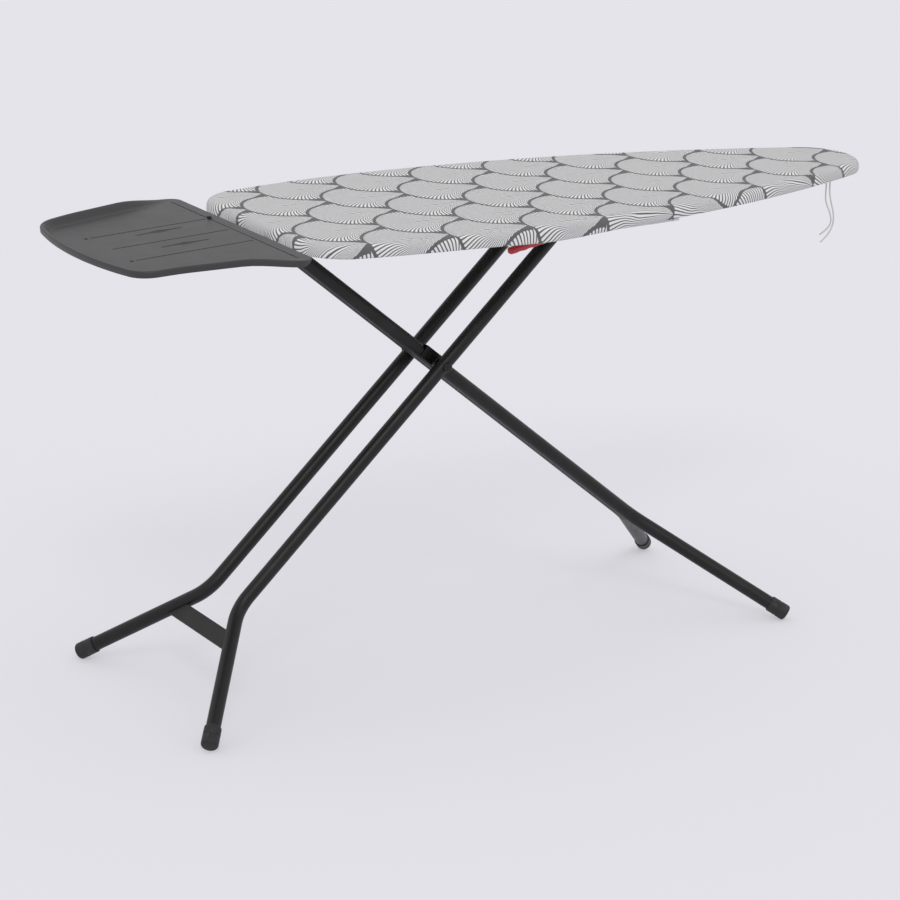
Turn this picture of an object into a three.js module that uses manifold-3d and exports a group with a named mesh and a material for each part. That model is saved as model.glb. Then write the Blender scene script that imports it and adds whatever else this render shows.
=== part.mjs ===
import * as THREE from 'three';
import Module from 'manifold-3d';
import { mergeVertices } from 'three/addons/utils/BufferGeometryUtils.js';

const wasm = await Module();
wasm.setup();

// ---------------------------------------------------------------- driving dimensions, mm
// The board points along x: heel at -x, nose at +x. The floor is z = 0.
const BOARD_LENGTH = 1240;
const BOARD_WIDTH = 470;
const WIDEST_X = -287;          // where the board is widest
const NOSE_RADIUS = 86;
const HEEL_CORNER_RADIUS = 88;
const HEEL_SIDE_RADIUS = 1454;  // long arc that tapers the sides back to the heel
const HEEL_X = -BOARD_LENGTH / 2;
const TOP_Z = 787;              // ironing surface above the floor
const GAP = 0.3;                // clearance between neighbouring pieces

// layers of the board, downwards from the ironing surface
const COVER_THICKNESS = 1.2;
const COVER_BOTTOM_Z = TOP_Z - 21.5;
const HEM_WIDTH = 27;
const PAD_TOP_Z = TOP_Z - COVER_THICKNESS - GAP;
const MESH_TOP_Z = 776.6;
const MESH_THICKNESS = 1.3;
const FRAME_TOP_Z = MESH_TOP_Z - MESH_THICKNESS - GAP;
const FRAME_BOTTOM_Z = COVER_BOTTOM_Z + COVER_THICKNESS + GAP;
const FRAME_OUTER = 2.8;        // inset of the frame channel from the cover outline
const FRAME_INNER = 14;
const FRAME_WALL = 1.5;
const STRAP_WIDTH = 30;
const STRAP_THICKNESS = 2.5;
const STRAP_BOTTOM_Z = FRAME_TOP_Z - STRAP_THICKNESS;
const HANGER_TOP_Z = STRAP_BOTTOM_Z - GAP;

// leg linkage, in the side plane
const PIVOT_Z = 746.7;          // height of both upper leg pivots
const CROSS = { x: -277.1, z: 516.7 };
const INNER_ANGLE = THREE.MathUtils.degToRad(38.29);
const OUTER_ANGLE = THREE.MathUtils.degToRad(43.19);
const INNER_ARM = (PIVOT_Z - CROSS.z) / Math.sin(INNER_ANGLE);
const OUTER_ARM = (PIVOT_Z - CROSS.z) / Math.sin(OUTER_ANGLE);
const HEEL_PIVOT = { x: CROSS.x - INNER_ARM * Math.cos(INNER_ANGLE), z: PIVOT_Z };
const SLIDE_BAR = { x: CROSS.x + OUTER_ARM * Math.cos(OUTER_ANGLE), z: PIVOT_Z };
const FOLDED_BAR_X = HEEL_PIVOT.x + INNER_ARM + OUTER_ARM;

// Where the slide bar lies once the inner leg has folded by an angle, with the outer leg geared to it.
function barAt(fold) {
  const inner = INNER_ANGLE - fold;
  const outer = OUTER_ANGLE * (inner / INNER_ANGLE);
  return {
    x: HEEL_PIVOT.x + INNER_ARM * Math.cos(inner) + OUTER_ARM * Math.cos(outer),
    z: HEEL_PIVOT.z - INNER_ARM * Math.sin(inner) + OUTER_ARM * Math.sin(outer),
  };
}

// legs
const TUBE_RADIUS = 12;
const TUBE_WALL = 1.2;
const TUBE_SIDES = 20;
const BEND_RADIUS = 75;
const INNER_TUBE_Y = 12.2;      // the inner leg is two tubes side by side
const OUTER_TUBE_Y = 49;
const INNER_BEND_Z = 169.1;
const INNER_FOOT = { x: 368.5, y: 208 };
const OUTER_BEND_Z = 154.4;
const OUTER_FOOT = { x: -809.5, y: 222 };
const CAP_RADIUS = 14.3;
const CAP_ROUND = 5;
const CAP_LENGTH = 36;
const CAP_END = 6;
const STRETCHER_DROP = 54;      // from the bend, along the leg
const STRETCHER_WIDTH = 30;
const STRETCHER_THICKNESS = 6;

// pivots and slide
const SLEEVE_RADIUS = 10;
const SLEEVE_HALF = 27;
const PIN_RADIUS = 4;
const CROSS_PIN_RADIUS = 5;
const SADDLE_LENGTH = 64;
const SADDLE_WALL = 1.8;
const BAR_RADIUS = 5;
const BAR_HALF = 118;
const BUSH_RADIUS = 7;
const BUSH_HALF = 5;
const RAIL_Y = 80;
const RAIL_WALL = 2.5;
const RAIL_FLANGE = 18;
const RAIL_START_X = -110;
const RAIL_END_X = 190;
const RAIL_BOTTOM_Z = 731;
const SLOT_PLAY = 2.6;          // the slide bar rises up to 2.1 mm on its way

// release lever
const SHAFT = { x: -95, z: 752 };
const SHAFT_RADIUS = 4;
const GRIP_Y = -150;
const COMB_Y = -110;
const COMB_THICKNESS = 3;
const COMB_DEPTH = 11;
const GRIP_SLOPE = THREE.MathUtils.degToRad(10);
const GRIP_LENGTH = 82;
const GRIP_REACH = 133;         // shaft to the free end of the grip
const GRIP_HEIGHT = 12;
const GRIP_WIDTH = 13;
const FOLD_LIMIT = THREE.MathUtils.degToRad(36.8);    // past this the inner tubes would meet the slide bar
const NOTCH_COUNT = 13;
const NOTCH_STEP = FOLD_LIMIT / (NOTCH_COUNT - 1);    // one height setting per step of folding

// iron rest, in its own tilted frame with its origin at the heel of the board
const REST_TILT = THREE.MathUtils.degToRad(2.73);
const REST_ORIGIN_Z = 780;
const REST_FLOOR = 3;
const REST_SKIRT = 11;
const REST_RIM = 13;
const REST_EDGE_U = -14;
const REST_END_U = -310;
const BAR_STRIP_Y = 48;
const BAR_STRIP_WIDTH = 18;
const BAR_STRIP_THICKNESS = 3;
const HEEL_STRAP_X = -552;
const LEVER_STRAP_X = -95;
const FRONT_STRAP_X = 172;

// ---------------------------------------------------------------- materials
const finish = {
  blackPaint: [0x1d1d1f, 0.42, 0.35],
  greySteel: [0x9a9c9e, 0.4, 0.8],
  zinc: [0xb9bcc0, 0.32, 0.9],
  rubber: [0x161617, 0.75, 0],
  restPlastic: [0x55565a, 0.55, 0],
  redPlastic: [0xb21f2b, 0.4, 0],
  bushPlastic: [0xdedcd4, 0.5, 0],
  felt: [0xe7e4da, 0.95, 0],
  cotton: [0xd2d3d6, 0.9, 0],
  cord: [0xe9e9e6, 0.85, 0],
};

// ---------------------------------------------------------------- small helpers
const group = new THREE.Group();
group.name = 'ironing_board';
const bodies = {};
for (const name of ['board', 'inner_leg', 'outer_leg', 'release_lever']) {
  bodies[name] = new THREE.Group();
  bodies[name].name = name;
  group.add(bodies[name]);
}

function add(body, name, geometry, look) {
  const [color, roughness, metalness] = finish[look];
  const mesh = new THREE.Mesh(geometry, new THREE.MeshStandardMaterial({ color, roughness, metalness }));
  mesh.name = name;
  bodies[body].add(mesh);
  return mesh;
}

const at = (x, y, z) => new THREE.Vector3(x, y, z);

function bare(geometry) {
  const plain = new THREE.BufferGeometry();
  plain.setAttribute('position', geometry.getAttribute('position').clone());
  if (geometry.index) plain.setIndex(geometry.index.clone());
  return mergeVertices(plain, 1e-4);
}

function toSolid(geometry) {
  const plain = bare(geometry);
  const vertProperties = new Float32Array(plain.getAttribute('position').array);
  const triVerts = new Uint32Array(plain.index.array);
  return new wasm.Manifold(new wasm.Mesh({ numProp: 3, vertProperties, triVerts }));
}

function fromSolid(solid) {
  const { vertProperties, triVerts } = solid.getMesh();
  const geometry = new THREE.BufferGeometry();
  geometry.setAttribute('position', new THREE.BufferAttribute(new Float32Array(vertProperties), 3));
  geometry.setIndex(new THREE.BufferAttribute(new Uint32Array(triVerts), 1));
  geometry.computeVertexNormals();
  return geometry;
}

function cut(geometry, ...tools) {
  return fromSolid(tools.reduce((rest, tool) => rest.subtract(toSolid(tool)), toSolid(geometry)));
}

function fuse(...geometries) {
  return fromSolid(geometries.slice(1).reduce((sum, g) => sum.add(toSolid(g)), toSolid(geometries[0])));
}

function common(a, b) {
  return fromSolid(toSolid(a).intersect(toSolid(b)));
}

// Turns a geometry's faces outwards if its signed volume is negative.
function outward(geometry) {
  const p = geometry.getAttribute('position');
  const index = geometry.index;
  const [a, b, c] = [at(0, 0, 0), at(0, 0, 0), at(0, 0, 0)];
  let volume = 0;
  for (let i = 0; i < index.count; i += 3) {
    a.fromBufferAttribute(p, index.getX(i));
    b.fromBufferAttribute(p, index.getX(i + 1));
    c.fromBufferAttribute(p, index.getX(i + 2));
    volume += a.dot(b.cross(c));
  }
  if (volume < 0) {
    for (let i = 0; i < index.count; i += 3) {
      const swap = index.getX(i);
      index.setX(i, index.getX(i + 1));
      index.setX(i + 1, swap);
    }
  }
  geometry.computeVertexNormals();
  return geometry;
}

// Skins a row of equal rings. A looped row closes on itself; otherwise flat convex ends are capped.
function loft(rings, looped) {
  const sides = rings[0].length;
  const positions = rings.flat().flatMap((v) => [v.x, v.y, v.z]);
  const faces = [];
  const spans = looped ? rings.length : rings.length - 1;
  for (let i = 0; i < spans; i++) {
    const a = i * sides;
    const b = ((i + 1) % rings.length) * sides;
    for (let j = 0; j < sides; j++) {
      const k = (j + 1) % sides;
      faces.push(a + j, a + k, b + k, a + j, b + k, b + j);
    }
  }
  if (!looped) {
    const last = (rings.length - 1) * sides;
    for (let j = 1; j < sides - 1; j++) {
      faces.push(0, j + 1, j, last, last + j, last + j + 1);
    }
  }
  const geometry = new THREE.BufferGeometry();
  geometry.setAttribute('position', new THREE.Float32BufferAttribute(positions, 3));
  geometry.setIndex(faces);
  return outward(geometry);
}

// Straight round bar between two points.
function rod(from, to, radius, sides = 20) {
  const axis = to.clone().sub(from);
  const geometry = new THREE.CylinderGeometry(radius, radius, axis.length(), sides);
  const turn = new THREE.Quaternion().setFromUnitVectors(at(0, 1, 0), axis.clone().normalize());
  geometry.applyQuaternion(turn);
  geometry.translate(...from.clone().add(to).multiplyScalar(0.5));
  return geometry;
}

const crossRod = (p, y0, y1, radius, sides = 20) => rod(at(p.x, y0, p.z), at(p.x, y1, p.z), radius, sides);

const ringTube = (p, y0, y1, outer, inner) => cut(
  crossRod(p, y0, y1, outer),
  crossRod(p, y0 - 1, y1 + 1, inner),
);

function box(x0, x1, y0, y1, z0, z1) {
  const geometry = new THREE.BoxGeometry(x1 - x0, y1 - y0, z1 - z0);
  geometry.translate((x0 + x1) / 2, (y0 + y1) / 2, (z0 + z1) / 2);
  return geometry;
}

// Plate standing in the x-z plane: an outline of [x, z] points, from y0 to y1.
function standingPlate(points, y0, y1, holes = []) {
  const shape = new THREE.Shape(points.map(([x, z]) => new THREE.Vector2(x, z)));
  for (const hole of holes) shape.holes.push(new THREE.Path(hole.map(([x, z]) => new THREE.Vector2(x, z))));
  const geometry = new THREE.ExtrudeGeometry(shape, { depth: y1 - y0, bevelEnabled: false });
  geometry.rotateX(Math.PI / 2);
  geometry.translate(0, y1, 0);
  return geometry;
}

// Outline of a strip of even thickness that follows a centre line of [x, z] points.
function strip(line, thickness) {
  const side = (sign) => line.map((p, i) => {
    const before = line[Math.max(i - 1, 0)];
    const after = line[Math.min(i + 1, line.length - 1)];
    const unit = (a, b) => new THREE.Vector2(b[0] - a[0], b[1] - a[1]).normalize();
    const inDir = i > 0 ? unit(before, p) : unit(p, after);
    const outDir = i < line.length - 1 ? unit(p, after) : inDir;
    const mean = inDir.clone().add(outDir).normalize();
    const reach = sign * (thickness / 2) / mean.dot(inDir);
    return [p[0] - mean.y * reach, p[1] + mean.x * reach];
  });
  return [...side(-1), ...side(1).reverse()];
}

function slotOutline(x0, x1, z, half, steps = 8) {
  const points = [];
  for (let i = 0; i <= steps; i++) {
    const a = Math.PI / 2 + (Math.PI * i) / steps;
    points.push([x0 + half * Math.cos(a), z + half * Math.sin(a)]);
  }
  for (let i = 0; i <= steps; i++) {
    const a = -Math.PI / 2 + (Math.PI * i) / steps;
    points.push([x1 + half * Math.cos(a), z + half * Math.sin(a)]);
  }
  return points;
}

function turned(profile, sides = 20) {
  return outward(new THREE.LatheGeometry(profile.map(([r, y]) => new THREE.Vector2(r, y)), sides));
}

// Puts a turned piece, made along +y from the origin, at a point and along a direction.
function aim(geometry, point, direction) {
  geometry.applyQuaternion(new THREE.Quaternion().setFromUnitVectors(at(0, 1, 0), direction.clone().normalize()));
  geometry.translate(point.x, point.y, point.z);
  return geometry;
}

// Pan-headed fastener: the underside of the head is at the origin and the shank runs along +y.
const fastener = (headRadius, headHeight, shankRadius, shankLength) => turned([
  [0, -headHeight],
  [headRadius * 0.72, -headHeight],
  [headRadius, -headHeight * 0.45],
  [headRadius, 0],
  [shankRadius, 0],
  [shankRadius, shankLength],
  [0, shankLength],
], 12);

// ---------------------------------------------------------------- board outline
// Tangent arcs, so an inset outline only needs smaller radii. Returns [x, y] points anticlockwise.
function boardOutline(inset) {
  const half = BOARD_WIDTH / 2;
  const noseCentre = BOARD_LENGTH / 2 - NOSE_RADIUS;
  const run = noseCentre - WIDEST_X;
  const flank = (run * run + half * half - NOSE_RADIUS * NOSE_RADIUS) / (2 * (half - NOSE_RADIUS));
  const flankAngle = Math.atan2(run, flank - half);
  const cornerX = HEEL_X + HEEL_CORNER_RADIUS;
  const reach = HEEL_SIDE_RADIUS - HEEL_CORNER_RADIUS;
  const cornerAngle = Math.asin((cornerX - WIDEST_X) / reach);
  const cornerY = half - HEEL_SIDE_RADIUS + reach * Math.cos(cornerAngle);
  const right = [];
  const arc = (cx, cy, radius, from, to, steps) => {
    for (let i = 0; i < steps; i++) {
      const a = from + ((to - from) * i) / steps;
      right.push([cx + (radius - inset) * Math.sin(a), cy + (radius - inset) * Math.cos(a)]);
    }
  };
  arc(noseCentre, 0, NOSE_RADIUS, Math.PI / 2, flankAngle, 8);
  arc(WIDEST_X, half - flank, flank, flankAngle, 0, 12);
  arc(WIDEST_X, half - HEEL_SIDE_RADIUS, HEEL_SIDE_RADIUS, 0, cornerAngle, 5);
  arc(cornerX, cornerY, HEEL_CORNER_RADIUS, cornerAngle, -Math.PI / 2, 9);
  right.push([HEEL_X + inset, cornerY]);
  const left = right.slice(1).reverse().map(([x, y]) => [x, -y]);
  return [...right, ...left];
}

const outlineRing = ([inset, z]) => boardOutline(inset).map(([x, y]) => at(x, y, z));

function outlineSlab(inset, z0, z1) {
  return loft([outlineRing([inset, z0]), outlineRing([inset, z1])], false);
}

// ---------------------------------------------------------------- board
function makeFrame() {
  const section = [
    [FRAME_OUTER, FRAME_BOTTOM_Z],
    [FRAME_INNER, FRAME_BOTTOM_Z],
    [FRAME_INNER, FRAME_BOTTOM_Z + FRAME_WALL],
    [FRAME_OUTER + FRAME_WALL, FRAME_BOTTOM_Z + FRAME_WALL],
    [FRAME_OUTER + FRAME_WALL, FRAME_TOP_Z - FRAME_WALL],
    [FRAME_INNER, FRAME_TOP_Z - FRAME_WALL],
    [FRAME_INNER, FRAME_TOP_Z],
    [FRAME_OUTER, FRAME_TOP_Z],
  ];
  add('board', 'edge_frame', loft(section.map(outlineRing), true), 'greySteel');
}

// Steel sheet with staggered rows of six-sided steam openings.
function makeMeshTop() {
  const pitchX = 62;
  const pitchY = 46;
  const openHalfX = 22;
  const openHalfY = 11;
  const margin = 16;
  const shape = new THREE.Shape(boardOutline(FRAME_OUTER).map(([x, y]) => new THREE.Vector2(x, y)));
  const inner = boardOutline(FRAME_OUTER + margin);
  const inside = (x, y) => inner.every(([ax, ay], i) => {
    const [bx, by] = inner[(i + 1) % inner.length];
    return (bx - ax) * (y - ay) - (by - ay) * (x - ax) > 0;
  });
  const corners = [[1, 0], [0.5, 1], [-0.5, 1], [-1, 0], [-0.5, -1], [0.5, -1]];
  for (let row = -4; row <= 4; row++) {
    for (let column = -10; column <= 10; column++) {
      const cx = column * pitchX + (row % 2 ? pitchX / 2 : 0);
      const cy = row * pitchY;
      const opening = corners.map(([x, y]) => new THREE.Vector2(cx + x * openHalfX, cy + y * openHalfY));
      if (opening.every((v) => inside(v.x, v.y))) shape.holes.push(new THREE.Path(opening));
    }
  }
  const geometry = new THREE.ExtrudeGeometry(shape, { depth: MESH_THICKNESS, bevelEnabled: false });
  geometry.translate(0, 0, MESH_TOP_Z - MESH_THICKNESS);
  add('board', 'mesh_top', geometry, 'greySteel');
}

function makePadAndCover() {
  const padBottom = MESH_TOP_Z + GAP;
  const pad = [[1.8, padBottom], [1.8, 778], [3.2, 781.4], [6, 784], [10, PAD_TOP_Z]];
  add('board', 'felt_pad', loft(pad.map(outlineRing), false), 'felt');

  const t = COVER_THICKNESS;
  const bottom = COVER_BOTTOM_Z;
  const cover = [
    [9.6, TOP_Z], [4.6, 785.3], [1.4, 782], [0, 778], [0, bottom + 3], [1.6, bottom],
    [HEM_WIDTH, bottom], [HEM_WIDTH, bottom + t],
    [2.4, bottom + t], [t, bottom + 3.4], [t, 777.8], [2.6, 781.4], [5.4, 784.2], [9.8, TOP_Z - t],
  ];
  add('board', 'cover', loft(cover.map(outlineRing), false), 'cotton');
}

function makeStrap(name, x, holes) {
  const bar = box(x - STRAP_WIDTH / 2, x + STRAP_WIDTH / 2, -BOARD_WIDTH, BOARD_WIDTH, STRAP_BOTTOM_Z, FRAME_TOP_Z);
  const room = outlineSlab(FRAME_INNER + GAP, STRAP_BOTTOM_Z - 1, FRAME_TOP_Z + 1);
  const drills = holes.map(([hx, hy]) => rod(at(hx, hy, STRAP_BOTTOM_Z - 2), at(hx, hy, FRAME_TOP_Z + 2), RIVET.hole, 12));
  add('board', name, cut(common(bar, room), ...drills), 'greySteel');
}

// Rivets come up from below through a hanger and its strap.
const RIVET = { shank: 2.4, hole: 2.8, head: 5, headHeight: 1.8 };

function makeRivet(name, x, y, hangerThickness) {
  const under = HANGER_TOP_Z - hangerThickness - GAP;
  const length = STRAP_THICKNESS + hangerThickness + 2 * GAP;
  const geometry = fastener(RIVET.head, RIVET.headHeight, RIVET.shank, length);
  add('board', name, aim(geometry, at(x, y, under), at(0, 0, 1)), 'zinc');
}

// Channel bent from sheet: a base under a strap and two ears that carry a pin across them.
function makeHanger(name, x0, x1, yIn0, yIn1, pin, pinRadius, bottomZ, rivets) {
  const wall = 2.5;
  const top = HANGER_TOP_Z;
  const outer = box(x0, x1, yIn0 - wall, yIn1 + wall, bottomZ, top);
  const inner = box(x0 - 1, x1 + 1, yIn0, yIn1, bottomZ - 1, top - wall);
  const bore = crossRod(pin, yIn0 - 9, yIn1 + 9, pinRadius + GAP);
  const drills = rivets.map(([x, y]) => rod(at(x, y, top - wall - 2), at(x, y, top + 1), RIVET.hole, 12));
  add('board', name, cut(outer, inner, bore, ...drills), 'greySteel');
  rivets.forEach(([x, y], i) => makeRivet(`${name}_rivet_${i + 1}`, x, y, wall));
  return rivets;
}

function makeHeelPivot() {
  const yIn = SLEEVE_HALF + 0.4;
  const rivets = makeHanger('heel_pivot_bracket', HEEL_PIVOT.x - 15, HEEL_STRAP_X + 14, -yIn, yIn,
    HEEL_PIVOT, PIN_RADIUS, 734, [[HEEL_STRAP_X + 4, -14], [HEEL_STRAP_X + 4, 14]]);
  const outer = yIn + 2.5;
  const pin = fastener(7, 3, PIN_RADIUS, 2 * outer + 2 * GAP + 3.4);
  add('board', 'heel_pivot_pin', aim(pin, at(HEEL_PIVOT.x, -outer - GAP, HEEL_PIVOT.z), at(0, 1, 0)), 'zinc');
  const cap = ringTube(HEEL_PIVOT, outer + GAP, outer + 3.4, 7, PIN_RADIUS + GAP);
  add('board', 'heel_pivot_retainer', cap, 'zinc');
  return rivets;
}

// Slotted angle on each side that carries and steers the slide bar.
function makeRail(side, sign) {
  const half = BUSH_RADIUS + SLOT_PLAY;
  const chamfer = 14;
  const web = [
    [RAIL_START_X, HANGER_TOP_Z], [RAIL_START_X, RAIL_BOTTOM_Z + chamfer],
    [RAIL_START_X + chamfer, RAIL_BOTTOM_Z], [RAIL_END_X - chamfer, RAIL_BOTTOM_Z],
    [RAIL_END_X, RAIL_BOTTOM_Z + chamfer], [RAIL_END_X, HANGER_TOP_Z],
  ];
  const slot = slotOutline(SLIDE_BAR.x, FOLDED_BAR_X, PIVOT_Z, half);
  const plate = standingPlate(web, RAIL_Y, RAIL_Y + RAIL_WALL, [slot]);
  const flange = box(RAIL_START_X, RAIL_END_X, RAIL_Y + 0.5, RAIL_Y + RAIL_FLANGE,
    HANGER_TOP_Z - RAIL_WALL, HANGER_TOP_Z);
  const rivetY = RAIL_Y + RAIL_FLANGE * 0.6;
  const spots = [[LEVER_STRAP_X, rivetY], [FRONT_STRAP_X, rivetY]];
  const drills = spots.map(([x, y]) => rod(at(x, y, HANGER_TOP_Z - 6), at(x, y, HANGER_TOP_Z + 1), RIVET.hole, 12));
  const rail = cut(fuse(plate, flange), ...drills);
  if (sign < 0) {
    rail.scale(1, -1, 1);
    outward(rail);
  }
  add('board', `guide_rail_${side}`, rail, 'greySteel');
  spots.forEach(([x, y], i) => makeRivet(`guide_rail_${side}_rivet_${i + 1}`, x, sign * y, RAIL_WALL));
  return spots.map(([x, y]) => [x, sign * y]);
}

// ---------------------------------------------------------------- iron rest
const restToWorld = new THREE.Matrix4().makeRotationY(-REST_TILT).setPosition(HEEL_X, 0, REST_ORIGIN_Z);

// Half outline in the rest's frame, from the middle of the board side round to the middle of the far end.
function restOutline(inset) {
  const half = [];
  const arc = (cu, cv, radius, from, to, steps) => {
    for (let i = 0; i <= steps; i++) {
      const a = from + ((to - from) * i) / steps;
      half.push([cu + (radius - inset) * Math.cos(a), cv + (radius - inset) * Math.sin(a)]);
    }
  };
  const frontCorner = 20;
  const endCorner = 46;
  const endArc = 620;
  const sideLean = 0.19;
  const sideAngle = Math.PI / 2 + Math.atan(sideLean);
  half.push([REST_EDGE_U - inset, 0], [REST_EDGE_U - inset, 100]);
  arc(REST_EDGE_U - frontCorner, 224 - frontCorner, frontCorner, 0, sideAngle, 6);
  const cornerU = -252;
  const cornerV = 224 - frontCorner + (cornerU - REST_EDGE_U + frontCorner) * sideLean
    - (endCorner - frontCorner) / Math.cos(Math.atan(sideLean));
  const endAngle = Math.PI - Math.asin(cornerV / (endArc - endCorner));
  arc(cornerU, cornerV, endCorner, sideAngle, endAngle, 7);
  const centreU = cornerU + (endArc - endCorner) * Math.cos(Math.PI - endAngle);
  for (let i = 1; i <= 4; i++) {
    const a = endAngle + ((Math.PI - endAngle) * i) / 4;
    half.push([centreU + (endArc - inset) * Math.cos(a), (endArc - inset) * Math.sin(a)]);
  }
  const other = half.slice(1, -1).reverse().map(([u, v]) => [u, -v]);
  return [...half, ...other];
}

// The rim stands at its full height along the sides and fades out towards the board.
function rimHeight(u) {
  const s = THREE.MathUtils.smoothstep(REST_EDGE_U - u, 6, 120);
  const e = THREE.MathUtils.smoothstep(REST_EDGE_U - u, 200, 296);
  return REST_RIM * s - 3 * e;
}

function skirtDepth(u) {
  return THREE.MathUtils.lerp(4, REST_SKIRT, THREE.MathUtils.smoothstep(REST_EDGE_U - u, 2, 24));
}

function restRing(inset, heightOf) {
  const base = restOutline(0);
  return restOutline(inset).map(([u, v], i) => at(u, v, heightOf(rimHeight(base[i][0]), skirtDepth(base[i][0]))));
}

function restShell() {
  const f = REST_FLOOR;
  const rings = [
    restRing(19, () => 0),
    restRing(14, (h) => 0.14 * h),
    restRing(9, (h) => 0.58 * h),
    restRing(5.4, (h) => h - 0.9),
    restRing(2.8, (h) => h),
    restRing(0.8, (h) => h - 1),
    restRing(0, (h) => h - 3.4),
    restRing(0.6, (h, s) => h - s),
    restRing(3.4, (h, s) => h - s),
    restRing(3.1, (h) => h - 3.9),
    restRing(6.8, (h) => h - 3.8),
    restRing(10.4, (h) => 0.5 * h - f),
    restRing(15, (h) => 0.08 * h - f),
    restRing(19.5, () => -f),
  ];
  return loft(rings, false);
}

function lensGroove(u0, v0, u1, v1, depth) {
  const a = new THREE.Vector2(u0, v0);
  const b = new THREE.Vector2(u1, v1);
  const along = b.clone().sub(a);
  const length = along.length();
  const stations = [0, 0.02, 0.28, 0.36, 0.5, 0.64, 0.72, 0.98, 1];
  const halves = [1.6, 2.2, 2.6, 4, 7.2, 4, 2.6, 2.2, 1.6];
  const outline = [
    ...stations.map((s, i) => new THREE.Vector2(s * length, -halves[i])),
    ...stations.map((s, i) => new THREE.Vector2(s * length, halves[i])).reverse(),
  ];
  const geometry = new THREE.ExtrudeGeometry(new THREE.Shape(outline), { depth: depth + 2, bevelEnabled: false });
  geometry.rotateZ(along.angle());
  geometry.translate(u0, v0, -depth);
  return geometry;
}

const REST_HOLES = [[-253, 76.6], [-253, -76.6], [-33, 78], [-33, -78]];
const REST_GROOVES = [[-178.5, 51, -96, 53.5], [-179, -32, -95.5, -33]];
const REST_SCREW_U = [-80, -230];

// Underside of the rest's floor, in the board's frame.
const restUnderside = (x) => REST_ORIGIN_Z + (x - HEEL_X) * Math.tan(REST_TILT) - REST_FLOOR / Math.cos(REST_TILT);

function makeIronRest() {
  const grooveDepth = 1.9;
  const lineDepth = 0.6;
  const tools = REST_HOLES.map(([u, v]) => rod(at(u, v, -8), at(u, v, 4), 3.4, 12));
  for (const g of REST_GROOVES) tools.push(lensGroove(...g, grooveDepth));
  for (const v of [76.6, 0, -76.6]) tools.push(box(-246, -41, v - 1.4, v + 1.4, -lineDepth, 3));
  for (const v of [BAR_STRIP_Y, -BAR_STRIP_Y]) {
    for (const u of REST_SCREW_U) tools.push(rod(at(u, v, -REST_FLOOR - 4), at(u, v, -1), 2.2, 12));
  }
  const rest = cut(restShell(), ...tools);
  rest.applyMatrix4(restToWorld);
  add('board', 'iron_rest', rest, 'restPlastic');
}

function makeRestBars() {
  const t = BAR_STRIP_THICKNESS;
  const under = (x) => restUnderside(x) - GAP - t / 2;
  const strapZ = HANGER_TOP_Z - t / 2;
  const lowZ = COVER_BOTTOM_Z - 1 - t / 2;
  const line = [
    [HEEL_STRAP_X + 13, strapZ], [HEEL_STRAP_X - 16, strapZ], [HEEL_STRAP_X - 32, lowZ],
    [HEEL_X - 10, lowZ], [HEEL_X - 34, under(HEEL_X - 34)], [HEEL_X - 262, under(HEEL_X - 262)],
  ];
  const up = at(0, 0, 1).applyAxisAngle(at(0, 1, 0), -REST_TILT);
  const holes = [];
  for (const [side, sign] of [['near', -1], ['far', 1]]) {
    const y = sign * BAR_STRIP_Y;
    const bar = standingPlate(strip(line, t), y - BAR_STRIP_WIDTH / 2, y + BAR_STRIP_WIDTH / 2);
    const strapSpot = [HEEL_STRAP_X, y];
    const drills = [rod(at(...strapSpot, strapZ - 6), at(...strapSpot, strapZ + 6), RIVET.hole, 12)];
    REST_SCREW_U.forEach((u, i) => {
      const seat = at(u, y, -REST_FLOOR - GAP - t - GAP).applyMatrix4(restToWorld);
      drills.push(rod(seat.clone().addScaledVector(up, -3), seat.clone().addScaledVector(up, 5.4), 2.5, 12));
      const screw = fastener(4.2, 2, 1.9, t + 2 * GAP + 1.6);
      add('board', `rest_screw_${side}_${i + 1}`, aim(screw, seat, up), 'zinc');
    });
    add('board', `rest_bar_${side}`, cut(bar, ...drills), 'blackPaint');
    makeRivet(`rest_bar_${side}_rivet`, ...strapSpot, t);
    holes.push(strapSpot);
  }
  return holes;
}

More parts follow.
